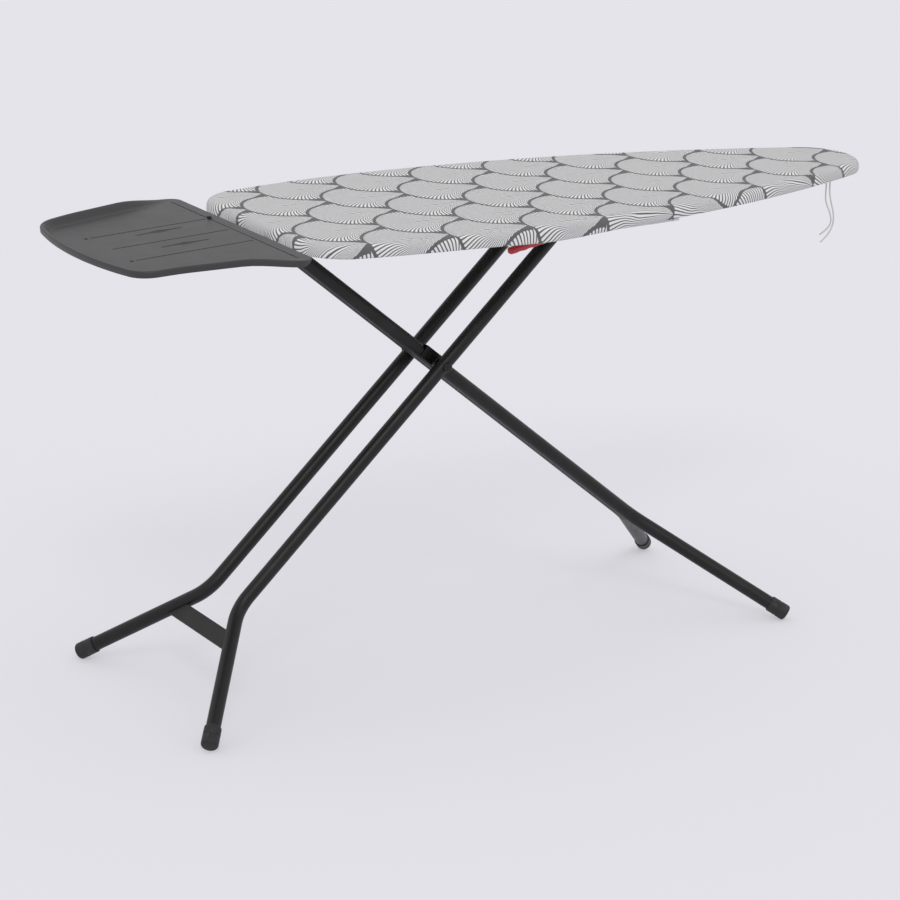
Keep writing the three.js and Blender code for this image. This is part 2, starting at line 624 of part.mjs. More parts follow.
// ---------------------------------------------------------------- release lever
function makeLever() {
  const inner = -118.5;
  const outer = -141.5;
  const rivets = makeHanger('lever_bracket', SHAFT.x - 13, SHAFT.x + 13, outer, inner, SHAFT, SHAFT_RADIUS,
    743, [[SHAFT.x, (inner + outer) / 2]]);
  const shaftFrom = GRIP_Y - 5.5;
  const shaftTo = COMB_Y + 5.5;
  add('release_lever', 'lever_shaft', crossRod(SHAFT, shaftFrom, shaftTo, SHAFT_RADIUS), 'zinc');

  const bore = (y) => crossRod(SHAFT, y - 8, y + 8, SHAFT_RADIUS + GAP);
  const armStart = 10;
  const armHalf = 4;
  const c = Math.cos(GRIP_SLOPE);
  const s = Math.sin(GRIP_SLOPE);
  const along = (reach, rise) => [SHAFT.x - reach * c - rise * s, SHAFT.z - reach * s + rise * c];
  const armEnd = GRIP_REACH - 8;
  const arm = [along(-9, -7), along(-9, 7), along(armStart, 7), along(armStart + 18, armHalf),
    along(armEnd, armHalf), along(armEnd, -armHalf), along(armStart + 18, -armHalf), along(armStart, -7)];
  const armHalfWidth = 1.5;
  add('release_lever', 'lever_arm',
    cut(standingPlate(arm.reverse(), GRIP_Y - armHalfWidth, GRIP_Y + armHalfWidth), bore(GRIP_Y)), 'zinc');

  const g0 = GRIP_REACH - GRIP_LENGTH;
  const h = GRIP_HEIGHT / 2;
  const body = [along(g0, -h + 1.5), along(g0, h - 1.5), along(g0 + 2, h), along(GRIP_REACH - 3, h),
    along(GRIP_REACH, h - 3), along(GRIP_REACH, -h + 3), along(GRIP_REACH - 3, -h), along(g0 + 2, -h)];
  const pocket = [along(g0 - 4, -armHalf - GAP), along(g0 - 4, armHalf + GAP),
    along(armEnd + GAP, armHalf + GAP), along(armEnd + GAP, -armHalf - GAP)];
  const grip = cut(
    standingPlate(body.reverse(), GRIP_Y - GRIP_WIDTH / 2, GRIP_Y + GRIP_WIDTH / 2),
    standingPlate(pocket.reverse(), GRIP_Y - armHalfWidth - GAP, GRIP_Y + armHalfWidth + GAP),
  );
  add('release_lever', 'lever_grip', grip, 'redPlastic');

  // The comb hangs just clear of the slide bar. In use it is raised so that a notch holds the bar,
  // and it only hangs clear while the grip is squeezed.
  const topZ = PIVOT_Z - BAR_RADIUS - 2 * GAP;
  const bottomZ = topZ - COMB_DEPTH;
  const endX = FOLDED_BAR_X + 14;
  const startX = SLIDE_BAR.x - 16;
  const comb = [[SHAFT.x - 9, SHAFT.z - 6], [SHAFT.x - 9, SHAFT.z + 6], [SHAFT.x - 5, SHAFT.z + 9],
    [SHAFT.x + 6, SHAFT.z + 9], [startX, topZ], [endX, topZ], [endX, bottomZ + 3],
    [startX, bottomZ], [SHAFT.x + 14, SHAFT.z - 12], [SHAFT.x, SHAFT.z - 10]];
  const notches = [];
  for (let i = 0; i < NOTCH_COUNT; i++) {
    const notch = { x: barAt(i * NOTCH_STEP).x, z: topZ };
    notches.push(crossRod(notch, COMB_Y - 5, COMB_Y + 5, BAR_RADIUS + 2 * GAP, 16));
  }
  const half = COMB_THICKNESS / 2;
  add('release_lever', 'locking_comb',
    cut(standingPlate(comb.reverse(), COMB_Y - half, COMB_Y + half), bore(COMB_Y), ...notches), 'zinc');

  makeSpring(outer + 2.5, inner - 2.5);
  return rivets;
}

// Torsion spring round the shaft between the ears of its bracket.
function makeSpring(y0, y1) {
  const wire = 0.8;
  const radius = SHAFT_RADIUS + wire + 0.8;
  const turns = 4;
  const perTurn = 9;
  const points = [];
  for (let i = 0; i <= turns * perTurn; i++) {
    const a = (2 * Math.PI * i) / perTurn;
    const y = THREE.MathUtils.lerp(y0, y1, i / (turns * perTurn));
    points.push(at(SHAFT.x + radius * Math.cos(a), y, SHAFT.z + radius * Math.sin(a)));
  }
  const section = new THREE.Shape();
  section.absarc(0, 0, wire, 0, 2 * Math.PI);
  const geometry = new THREE.ExtrudeGeometry(section, {
    steps: turns * perTurn,
    curveSegments: 3,
    extrudePath: new THREE.CatmullRomCurve3(points),
  });
  add('board', 'return_spring', geometry, 'zinc');
}

// ---------------------------------------------------------------- legs
// Centre line of a leg tube: straight, one bend of BEND_RADIUS, straight. Returns stations with directions.
function legPath(top, bend, end) {
  const d0 = bend.clone().sub(top).normalize();
  const d1 = end.clone().sub(bend).normalize();
  const turn = d0.angleTo(d1);
  const tangent = BEND_RADIUS * Math.tan(turn / 2);
  const binormal = d0.clone().cross(d1).normalize();
  const start = bend.clone().addScaledVector(d0, -tangent);
  const centre = start.clone().addScaledVector(binormal.clone().cross(d0), BEND_RADIUS);
  const steps = 7;
  const stations = [{ point: top, direction: d0 }];
  for (let i = 0; i <= steps; i++) {
    const angle = (turn * i) / steps;
    const arm = start.clone().sub(centre).applyAxisAngle(binormal, angle);
    stations.push({ point: centre.clone().add(arm), direction: d0.clone().applyAxisAngle(binormal, angle) });
  }
  stations.push({ point: end, direction: d1 });
  return { stations, binormal };
}

function tubeAlong(path, outer, inner) {
  const ringAt = ({ point, direction }, radius) => {
    const across = path.binormal.clone().cross(direction);
    const ring = [];
    for (let i = 0; i < TUBE_SIDES; i++) {
      const a = (2 * Math.PI * i) / TUBE_SIDES;
      ring.push(point.clone().addScaledVector(across, radius * Math.cos(a))
        .addScaledVector(path.binormal, radius * Math.sin(a)));
    }
    return ring;
  };
  const outside = path.stations.map((s) => ringAt(s, outer));
  if (!inner) return loft(outside, false);
  return loft([...outside, ...path.stations.map((s) => ringAt(s, inner)).reverse()], true);
}

// End of the tube so that the rounded cap beyond it just rests on the floor.
function footEnd(bend, foot, sign) {
  const end = at(foot.x, sign * foot.y, CAP_RADIUS);
  const capCentre = CAP_END - CAP_ROUND;
  for (let i = 0; i < 6; i++) {
    const direction = end.clone().sub(bend).normalize();
    const level = Math.sqrt(1 - direction.z * direction.z);
    end.z = CAP_ROUND + (CAP_RADIUS - CAP_ROUND) * level - capCentre * direction.z;
  }
  return end;
}

function footCap(end, direction) {
  const inner = TUBE_RADIUS + GAP;
  const straight = CAP_RADIUS - CAP_ROUND;
  const profile = [[0, CAP_END]];
  for (let i = 0; i <= 4; i++) {
    const a = (Math.PI / 2) * (1 - i / 4);
    profile.push([straight + CAP_ROUND * Math.cos(a), CAP_END - CAP_ROUND + CAP_ROUND * Math.sin(a)]);
  }
  const open = CAP_END - CAP_LENGTH;
  profile.push([CAP_RADIUS - 0.5, open + 2], [CAP_RADIUS - 1.2, open], [inner, open], [inner, GAP], [0, GAP]);
  return aim(turned(profile, 20), end, direction);
}

function legTube(body, name, top, bend, end, tools) {
  const path = legPath(top, bend, end);
  const tube = tubeAlong(path, TUBE_RADIUS, TUBE_RADIUS - TUBE_WALL);
  add(body, name, cut(tube, ...tools), 'blackPaint');
  add(body, name.replace('tube', 'foot_cap'), footCap(end, path.stations.at(-1).direction), 'rubber');
}

const innerLine = (z) => CROSS.x + (CROSS.z - z) / Math.tan(INNER_ANGLE);
const outerLine = (z) => CROSS.x - (CROSS.z - z) / Math.tan(OUTER_ANGLE);

function makeInnerLeg() {
  const sleeveClear = crossRod(HEEL_PIVOT, -60, 60, SLEEVE_RADIUS + GAP, 24);
  const pinClear = crossRod(CROSS, -90, 90, CROSS_PIN_RADIUS + GAP);
  for (const [side, sign] of [['near', -1], ['far', 1]]) {
    const y = sign * INNER_TUBE_Y;
    const top = at(HEEL_PIVOT.x + 4, y, HEEL_PIVOT.z - 4 * Math.tan(INNER_ANGLE));
    const bend = at(innerLine(INNER_BEND_Z), y, INNER_BEND_Z);
    const end = footEnd(bend, INNER_FOOT, sign);
    legTube('inner_leg', `inner_tube_${side}`, top, bend, end, [sleeveClear, pinClear]);
  }
  add('inner_leg', 'inner_leg_sleeve',
    ringTube(HEEL_PIVOT, -SLEEVE_HALF, SLEEVE_HALF, SLEEVE_RADIUS, PIN_RADIUS + GAP), 'blackPaint');

  // channel that wraps the two tubes where the legs cross, made level and then turned to the leg
  const inside = INNER_TUBE_Y + TUBE_RADIUS + GAP;
  const roof = TUBE_RADIUS + GAP;
  const outside = inside + SADDLE_WALL;
  const outer = box(-SADDLE_LENGTH / 2, SADDLE_LENGTH / 2, -outside, outside, -9, roof + SADDLE_WALL);
  const hollow = box(-SADDLE_LENGTH, SADDLE_LENGTH, -inside, inside, -12, roof);
  const saddle = cut(outer, hollow, crossRod({ x: 0, z: 0 }, -60, 60, CROSS_PIN_RADIUS + GAP));
  saddle.rotateY(INNER_ANGLE);
  saddle.translate(CROSS.x, 0, CROSS.z);
  add('inner_leg', 'crossing_saddle', saddle, 'blackPaint');

  const bolt = OUTER_TUBE_Y + TUBE_RADIUS + 0.8;
  add('inner_leg', 'crossing_pin', aim(fastener(8.5, 4, CROSS_PIN_RADIUS, 2 * bolt + 7),
    at(CROSS.x, -bolt, CROSS.z), at(0, 1, 0)), 'blackPaint');
  add('inner_leg', 'crossing_nut', ringTube(CROSS, bolt, bolt + 6, 8.5, CROSS_PIN_RADIUS + GAP), 'blackPaint');
  for (const [side, sign] of [['near', -1], ['far', 1]]) {
    const from = outside + GAP;
    const to = OUTER_TUBE_Y - TUBE_RADIUS - GAP;
    const spacer = ringTube(CROSS, Math.min(sign * from, sign * to), Math.max(sign * from, sign * to),
      9, CROSS_PIN_RADIUS + GAP);
    add('inner_leg', `crossing_spacer_${side}`, spacer, 'bushPlastic');
  }
}

function makeOuterLeg() {
  const pinClear = crossRod(CROSS, -90, 90, CROSS_PIN_RADIUS + GAP);
  const barClear = crossRod(SLIDE_BAR, -130, 130, BAR_RADIUS + GAP);
  const overrun = 11;
  const topZ = SLIDE_BAR.z + overrun * Math.sin(OUTER_ANGLE);
  const clearances = [];
  for (const [side, sign] of [['near', -1], ['far', 1]]) {
    const y = sign * OUTER_TUBE_Y;
    const top = at(outerLine(topZ), y, topZ);
    const bend = at(outerLine(OUTER_BEND_Z), y, OUTER_BEND_Z);
    const end = footEnd(bend, OUTER_FOOT, sign);
    legTube('outer_leg', `outer_tube_${side}`, top, bend, end, [pinClear, barClear]);
    clearances.push(tubeAlong(legPath(top, bend, end), TUBE_RADIUS + GAP));
  }

  // flat bar between the tubes below their bends, made level and then turned to the leg
  const bar = box(-STRETCHER_WIDTH / 2, STRETCHER_WIDTH / 2, -122, 122,
    -STRETCHER_THICKNESS / 2, STRETCHER_THICKNESS / 2);
  bar.rotateY(-OUTER_ANGLE);
  const z = OUTER_BEND_Z - STRETCHER_DROP * Math.sin(OUTER_ANGLE);
  bar.translate(outerLine(z), 0, z);
  add('outer_leg', 'stretcher', insidePart(bar, clearances), 'blackPaint');

  add('outer_leg', 'slide_bar', crossRod(SLIDE_BAR, -BAR_HALF, BAR_HALF, BAR_RADIUS), 'zinc');
  for (const [side, sign] of [['near', -1], ['far', 1]]) {
    const middle = sign * (RAIL_Y + RAIL_WALL / 2);
    add('outer_leg', `slide_bush_${side}`,
      ringTube(SLIDE_BAR, middle - BUSH_HALF, middle + BUSH_HALF, BUSH_RADIUS, BAR_RADIUS + GAP), 'bushPlastic');
  }
}

// What is left of a bar between two tubes once the tubes and anything outside them are taken away.
function insidePart(bar, tubes) {
  const left = toSolid(bar);
  const pieces = tubes.reduce((rest, tube) => rest.subtract(toSolid(tube)), left).decompose();
  const middle = pieces.find((piece) => {
    const { min, max } = piece.boundingBox();
    return min[1] < 0 && max[1] > 0;
  });
  return fromSolid(middle);
}

// ---------------------------------------------------------------- drawcord ends
// A free end of the cord that draws the hem in: out of the hem near the nose and down under its own weight.
function makeCordTail(name, points) {
  const radius = 1.4;
  const curve = new THREE.CatmullRomCurve3(points.map((p) => at(...p)));
  const section = new THREE.Shape();
  section.absarc(0, 0, radius, 0, 2 * Math.PI);
  const geometry = new THREE.ExtrudeGeometry(section, { steps: 22, curveSegments: 4, extrudePath: curve });
  add('board', name, geometry, 'cord');
}

const CORD_TOP_Z = COVER_BOTTOM_Z - 0.8;

// ---------------------------------------------------------------- assembly
makeFrame();
makeMeshTop();
makePadAndCover();
const heelHoles = [...makeHeelPivot(), ...makeRestBars()];
const railHoles = [...makeRail('near', -1), ...makeRail('far', 1)];
const leverHoles = makeLever();
const near = (x) => ([hx]) => Math.abs(hx - x) < STRAP_WIDTH / 2;
makeStrap('heel_strap', HEEL_STRAP_X, heelHoles);
makeStrap('middle_strap', LEVER_STRAP_X, [...railHoles.filter(near(LEVER_STRAP_X)), ...leverHoles]);
makeStrap('front_strap', FRONT_STRAP_X, railHoles.filter(near(FRONT_STRAP_X)));
makeIronRest();
makeInnerLeg();
makeOuterLeg();
makeCordTail('drawcord_tail_1', [
  [500.6, -84, CORD_TOP_Z], [501, -84, 748], [502.6, -84, 726], [514.6, -84.5, 701], [516.6, -85, 685],
  [507.6, -85, 674], [493, -85, 666],
]);
makeCordTail('drawcord_tail_2', [
  [507.3, -86, CORD_TOP_Z], [508, -86, 745], [512.3, -85.5, 727], [521.3, -85, 702], [521.8, -85, 681],
  [511.5, -85, 664], [496.3, -85, 652],
]);

// The part's own frame: the middle of its footprint, on the floor.
const extent = new THREE.Box3().setFromObject(group);
group.position.set(-(extent.min.x + extent.max.x) / 2, 0, -extent.min.z);

export default group;
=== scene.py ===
"""Ironing board with a steel mesh top, printed cotton cover, iron rest and folding tube legs.

Laid out as an add-on with one operator for each piece or group of like pieces. Run as a script, it
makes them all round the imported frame.
"""
import math

import bmesh
import bpy
from mathutils import Matrix, Vector, noise


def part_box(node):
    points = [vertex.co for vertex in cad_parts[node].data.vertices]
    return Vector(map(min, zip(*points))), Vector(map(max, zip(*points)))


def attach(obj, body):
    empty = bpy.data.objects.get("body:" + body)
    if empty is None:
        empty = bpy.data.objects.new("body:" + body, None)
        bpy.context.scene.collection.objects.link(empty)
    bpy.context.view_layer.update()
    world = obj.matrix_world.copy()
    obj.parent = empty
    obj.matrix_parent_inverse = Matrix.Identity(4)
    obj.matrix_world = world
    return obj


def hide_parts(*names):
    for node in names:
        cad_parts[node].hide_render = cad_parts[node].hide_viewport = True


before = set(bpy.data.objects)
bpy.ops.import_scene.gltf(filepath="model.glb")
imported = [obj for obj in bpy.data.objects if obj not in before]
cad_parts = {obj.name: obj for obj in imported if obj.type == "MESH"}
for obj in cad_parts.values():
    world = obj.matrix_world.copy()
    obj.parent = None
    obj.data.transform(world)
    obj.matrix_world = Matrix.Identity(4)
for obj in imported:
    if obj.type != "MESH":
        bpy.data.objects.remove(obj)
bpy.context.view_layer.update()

bl_info = {
    "name": "Ironing Board",
    "version": (1, 0, 0),
    "blender": (4, 5, 0),
    "location": "View3D > Sidebar > Ironing Board",
    "description": "Makes the pieces and finishes of a folding ironing board",
    "category": "Add Mesh",
}

# ---------------------------------------------------------------- the board's own frame, mm
# Working drawings: the middle of the board at x = 0, heel at -x, nose at +x, floor at z = 0.
BOARD_LENGTH = 1240
BOARD_WIDTH = 470
WIDEST_X = -287
NOSE_RADIUS = 86
HEEL_CORNER_RADIUS = 88
HEEL_SIDE_RADIUS = 1454
HEEL_X = -BOARD_LENGTH / 2
TOP_Z = 787
COVER_BOTTOM_Z = 765.5
MESH_TOP_Z = 776.6
MESH_THICKNESS = 1.3
PIVOT_Z = 746.7
CROSS = (-277.1, 516.7)
INNER_ANGLE = math.radians(38.29)
OUTER_ANGLE = math.radians(43.19)
INNER_ARM = (PIVOT_Z - CROSS[1]) / math.sin(INNER_ANGLE)
OUTER_ARM = (PIVOT_Z - CROSS[1]) / math.sin(OUTER_ANGLE)
HEEL_PIVOT = (CROSS[0] - INNER_ARM * math.cos(INNER_ANGLE), PIVOT_Z)
SLIDE_BAR = (CROSS[0] + OUTER_ARM * math.cos(OUTER_ANGLE), PIVOT_Z)
TUBE_RADIUS = 12
BEND_RADIUS = 75
INNER_TUBE_Y = 12.2
OUTER_TUBE_Y = 49
INNER_BEND_Z = 169.1
INNER_FOOT = (368.5, 208)
OUTER_BEND_Z = 154.4
OUTER_FOOT = (-809.5, 222)
CAP_RADIUS = 14.3
CAP_ROUND = 5
CAP_END = 6
SHAFT = (-95, 752)
GRIP_Y = -150
GRIP_SLOPE = math.radians(10)
GRIP_LENGTH = 82
GRIP_REACH = 133
REST_TILT = math.radians(2.73)
REST_ORIGIN_Z = 780
REST_FLOOR = 3
REST_SKIRT = 11
REST_RIM = 13
REST_EDGE_U = -14


def frame_shift():
    """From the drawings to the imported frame, taken from the slide bar, which both know."""
    low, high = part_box("slide_bar")
    middle = (low + high) / 2
    return Vector((middle.x - SLIDE_BAR[0] / 1000, middle.y, middle.z - SLIDE_BAR[1] / 1000))


SHIFT = frame_shift()


def place(x, y, z):
    """A point of the drawings, in mm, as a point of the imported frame, in metres."""
    return Vector((x, y, z)) / 1000 + SHIFT


def smoothstep(value, low, high):
    t = min(max((value - low) / (high - low), 0), 1)
    return t * t * (3 - 2 * t)


# ---------------------------------------------------------------- settings a user would change
class BoardSizes(bpy.types.PropertyGroup):
    print_width: bpy.props.FloatProperty(
        name="Fan length", description="Length of one fan of the printed cotton",
        default=0.148, min=0.02, max=0.5, unit="LENGTH")
    print_row: bpy.props.FloatProperty(
        name="Fan row", description="Distance between two rows of fans",
        default=0.0905, min=0.02, max=0.5, unit="LENGTH")
    pucker: bpy.props.FloatProperty(
        name="Pucker", description="Height of the gathers along the hem",
        default=0.0013, min=0.0, max=0.003, unit="LENGTH")
    mesh_pitch: bpy.props.FloatProperty(
        name="Mesh pitch", description="Length of one opening of the steel mesh",
        default=0.022, min=0.008, max=0.06, unit="LENGTH")
    cord_diameter: bpy.props.FloatProperty(
        name="Cord diameter", description="Diameter of the drawcord",
        default=0.0028, min=0.001, max=0.006, unit="LENGTH")


class BoardColours(bpy.types.PropertyGroup):
    cotton_plain: bpy.props.FloatVectorProperty(
        name="Cotton, slubs", description="Grey of the thicker threads",
        default=(0.46, 0.46, 0.465), subtype="COLOR", size=3, min=0, max=1)
    cotton_light: bpy.props.FloatVectorProperty(
        name="Cotton, light", description="Near white between the strokes",
        default=(0.78, 0.78, 0.78), subtype="COLOR", size=3, min=0, max=1)
    cotton_ink: bpy.props.FloatVectorProperty(
        name="Cotton, ink", description="Dark grey of the strokes and outlines",
        default=(0.075, 0.075, 0.08), subtype="COLOR", size=3, min=0, max=1)
    paint: bpy.props.FloatVectorProperty(
        name="Leg paint", description="Black of the painted legs",
        default=(0.0045, 0.0045, 0.0048), subtype="COLOR", size=3, min=0, max=1)
    rest: bpy.props.FloatVectorProperty(
        name="Iron rest", description="Dark grey of the moulded iron rest",
        default=(0.033, 0.033, 0.0343), subtype="COLOR", size=3, min=0, max=1)
    grip: bpy.props.FloatVectorProperty(
        name="Grip", description="Red of the release grip",
        default=(0.46, 0.015, 0.025), subtype="COLOR", size=3, min=0, max=1)
    steel: bpy.props.FloatVectorProperty(
        name="Frame steel", description="Silver grey of the frame under the cover",
        default=(0.36, 0.37, 0.38), subtype="COLOR", size=3, min=0, max=1)
    floor: bpy.props.FloatVectorProperty(
        name="Floor", description="Pale floor",
        default=(0.785, 0.777, 0.822), subtype="COLOR", size=3, min=0, max=1)


def sizes():
    return bpy.context.scene.ironing_board_sizes


def colours():
    return bpy.context.scene.ironing_board_colours


# ---------------------------------------------------------------- node helpers
class Graph:
    """Short ways to add shader nodes to one material."""

    def __init__(self, name):
        self.material = bpy.data.materials.new(name)
        self.material.use_nodes = True
        self.tree = self.material.node_tree
        self.shader = self.tree.nodes["Principled BSDF"]

    def link(self, source, target):
        self.tree.links.new(source, target)

    def put(self, value, socket):
        if isinstance(value, bpy.types.NodeSocket):
            self.link(value, socket)
        else:
            socket.default_value = value

    def math(self, operation, a, b=0.0, clamp=False):
        node = self.tree.nodes.new("ShaderNodeMath")
        node.operation = operation
        node.use_clamp = clamp
        self.put(a, node.inputs[0])
        self.put(b, node.inputs[1])
        return node.outputs[0]

    def step(self, value, low, high):
        """0 below low and 1 above high, smooth between them."""
        node = self.tree.nodes.new("ShaderNodeMapRange")
        node.interpolation_type = "SMOOTHSTEP"
        self.put(value, node.inputs["Value"])
        self.put(low, node.inputs["From Min"])
        self.put(high, node.inputs["From Max"])
        return node.outputs["Result"]

    def span(self, value, low, high):
        """Spreads 0..1 over low..high."""
        node = self.tree.nodes.new("ShaderNodeMapRange")
        self.put(value, node.inputs["Value"])
        node.inputs["To Min"].default_value = low
        node.inputs["To Max"].default_value = high
        return node.outputs["Result"]

    def mix(self, share, a, b):
        node = self.tree.nodes.new("ShaderNodeMix")
        node.data_type = "RGBA"
        self.put(share, node.inputs["Factor"])
        self.put(a if isinstance(a, bpy.types.NodeSocket) else (*a, 1), node.inputs["A"])
        self.put(b if isinstance(b, bpy.types.NodeSocket) else (*b, 1), node.inputs["B"])
        return node.outputs["Result"]

    def position(self):
        return self.tree.nodes.new("ShaderNodeTexCoord").outputs["Object"]

    def noise(self, vector, scale, detail=2.0, rough=0.5):
        node = self.tree.nodes.new("ShaderNodeTexNoise")
        self.link(vector, node.inputs["Vector"])
        node.inputs["Scale"].default_value = scale
        node.inputs["Detail"].default_value = detail
        node.inputs["Roughness"].default_value = rough
        return node.outputs["Fac"]

    def cells(self, vector, scale):
        node = self.tree.nodes.new("ShaderNodeTexVoronoi")
        self.link(vector, node.inputs["Vector"])
        node.inputs["Scale"].default_value = scale
        return node.outputs["Distance"]

    def bump(self, height, distance, strength=1.0, below=None):
        node = self.tree.nodes.new("ShaderNodeBump")
        node.inputs["Strength"].default_value = strength
        node.inputs["Distance"].default_value = distance
        self.link(height, node.inputs["Height"])
        if below is not None:
            self.link(below, node.inputs["Normal"])
        return node.outputs["Normal"]

    def finish(self, colour, roughness, normal, metallic=0.0):
        self.put(colour, self.shader.inputs["Base Color"])
        self.put(roughness, self.shader.inputs["Roughness"])
        self.put(normal, self.shader.inputs["Normal"])
        self.shader.inputs["Metallic"].default_value = metallic
        return self.material


def shade(colour, factor):
    return tuple(min(c * factor, 1) for c in colour)


# ---------------------------------------------------------------- finishes
def leg_paint():
    """Black stoved enamel: faint orange peel, a little dust, paler where hands have rubbed it."""
    g = Graph("leg_paint")
    where = g.position()
    dust = g.noise(where, 14, 5)
    peel = g.noise(where, 900, 1)
    colour = g.mix(g.step(dust, 0.45, 0.8), colours().paint, shade(colours().paint, 2.4))
    rough = g.span(g.noise(where, 60, 3), 0.32, 0.5)
    g.shader.inputs["Specular IOR Level"].default_value = 0.35
    return g.finish(colour, rough, g.bump(peel, 0.00006, 0.5))


def foot_rubber():
    g = Graph("foot_rubber")
    where = g.position()
    grain = g.noise(where, 1400, 2)
    scuffs = g.step(g.noise(where, 90, 6), 0.56, 0.7)
    colour = g.mix(scuffs, (0.010, 0.010, 0.011), (0.03, 0.03, 0.031))
    return g.finish(colour, g.span(grain, 0.5, 0.68), g.bump(grain, 0.0001, 0.6))


def rest_plastic():
    """Injection-moulded plastic with a fine spark grain and slight polish where irons have slid."""
    g = Graph("rest_plastic")
    where = g.position()
    grain = g.noise(where, 1600, 2, 0.6)
    slid = g.noise(where, 22, 4)
    colour = g.mix(slid, shade(colours().rest, 0.93), shade(colours().rest, 1.07))
    rough = g.math("ADD", g.span(grain, 0.38, 0.5), g.span(slid, -0.05, 0.06))
    return g.finish(colour, rough, g.bump(grain, 0.00012, 0.45))


def grip_plastic():
    g = Graph("grip_plastic")
    where = g.position()
    grain = g.noise(where, 1800, 2)
    flow = g.noise(where, 50, 3)
    colour = g.mix(flow, shade(colours().grip, 0.88), shade(colours().grip, 1.12))
    material = g.finish(colour, g.span(grain, 0.26, 0.4), g.bump(grain, 0.00008, 0.4))
    g.shader.inputs["Coat Weight"].default_value = 0.15
    return material


def bush_plastic():
    g = Graph("bush_plastic")
    where = g.position()
    grain = g.noise(where, 700, 3)
    grease = g.step(g.noise(where, 120, 4), 0.55, 0.75)
    colour = g.mix(grease, (0.72, 0.70, 0.64), (0.50, 0.48, 0.42))
    return g.finish(colour, g.span(grain, 0.35, 0.5), g.bump(grain, 0.0001, 0.3))


def frame_steel():
    """Silver powder coat: a fine sparkle in the grain and soft clouds in the colour."""
    g = Graph("frame_steel")
    where = g.position()
    clouds = g.noise(where, 18, 4)
    grain = g.noise(where, 1300, 2)
    colour = g.mix(clouds, shade(colours().steel, 0.85), shade(colours().steel, 1.15))
    return g.finish(colour, g.span(grain, 0.36, 0.52), g.bump(grain, 0.0001, 0.4), 0.55)


def zinc_plate():
    """Bright zinc: faint spangle, drawn scratches and a dulled bloom."""
    g = Graph("zinc_plate")
    where = g.position()
    spangle = g.cells(where, 420)
    bloom = g.noise(where, 70, 5)
    colour = g.mix(g.step(bloom, 0.35, 0.7), (0.62, 0.64, 0.67), (0.47, 0.48, 0.50))
    rough = g.math("ADD", g.span(spangle, 0.2, 0.34), g.span(bloom, -0.04, 0.1))
    return g.finish(colour, rough, g.bump(spangle, 0.00005, 0.35), 0.9)


def felt():
    """Pressed felt: matted fibres over soft lumps, pale with darker flecks."""
    g = Graph("felt")
    where = g.position()
    fibres = g.noise(where, 900, 8, 0.75)
    lumps = g.noise(where, 60, 4)
    flecks = g.step(g.noise(where, 420, 3), 0.6, 0.72)
    base = g.mix(fibres, (0.60, 0.585, 0.54), (0.80, 0.785, 0.74))
    colour = g.mix(flecks, base, (0.42, 0.40, 0.37))
    height = g.math("ADD", fibres, g.math("MULTIPLY", lumps, 0.8))
    material = g.finish(colour, g.span(fibres, 0.85, 0.98), g.bump(height, 0.0009, 0.8))
    g.shader.inputs["Sheen Weight"].default_value = 0.3
    return material


def drawcord_cotton():
    """Braided cotton: slanting strands both ways round the cord, with painted shade darkening the grooves
    between the strands.
    """
    g = Graph("drawcord_cotton")
    where = g.position()
    x, y, z = g.tree.nodes.new("ShaderNodeSeparateXYZ").outputs
    g.link(where, x.node.inputs[0])
    around = g.math("ADD", g.math("MULTIPLY", x, 1900), g.math("MULTIPLY", y, 1900))
    one = g.math("SINE", g.math("ADD", around, g.math("MULTIPLY", z, 2600)))
    other = g.math("SINE", g.math("SUBTRACT", around, g.math("MULTIPLY", z, 2600)))
    braid = g.span(g.math("MAXIMUM", one, other), 0.4, 0.6)
    fluff = g.noise(where, 2600, 4)
    # painted shade: the colour follows the braid's height, darker in the grooves between the strands
    colour = g.mix(g.math("MULTIPLY", braid, fluff), (0.52, 0.52, 0.51), (0.86, 0.86, 0.84))
    return g.finish(colour, g.span(fluff, 0.75, 0.95), g.bump(braid, 0.0003, 0.7))


# ---------------------------------------------------------------- printed cotton
FAN_START = (-76, -32)       # round end of one fan on the flat cotton, mm
ROW_SLOPE = 0.03             # the rows of fans fall a little towards the nose
COLUMN_DRIFT = 0.055         # and the columns lean a little across them
RIB_PULL = 1.45              # how far ahead the ribs meet, in half lengths
FAN_RIM = 0.972              # radius of a fan's round end, as a share of half its length
RIB_ANGLE = 6.0              # one rib and one gap, degrees of the fan's round end
RIB_GAP = 0.385              # share of it that is dark


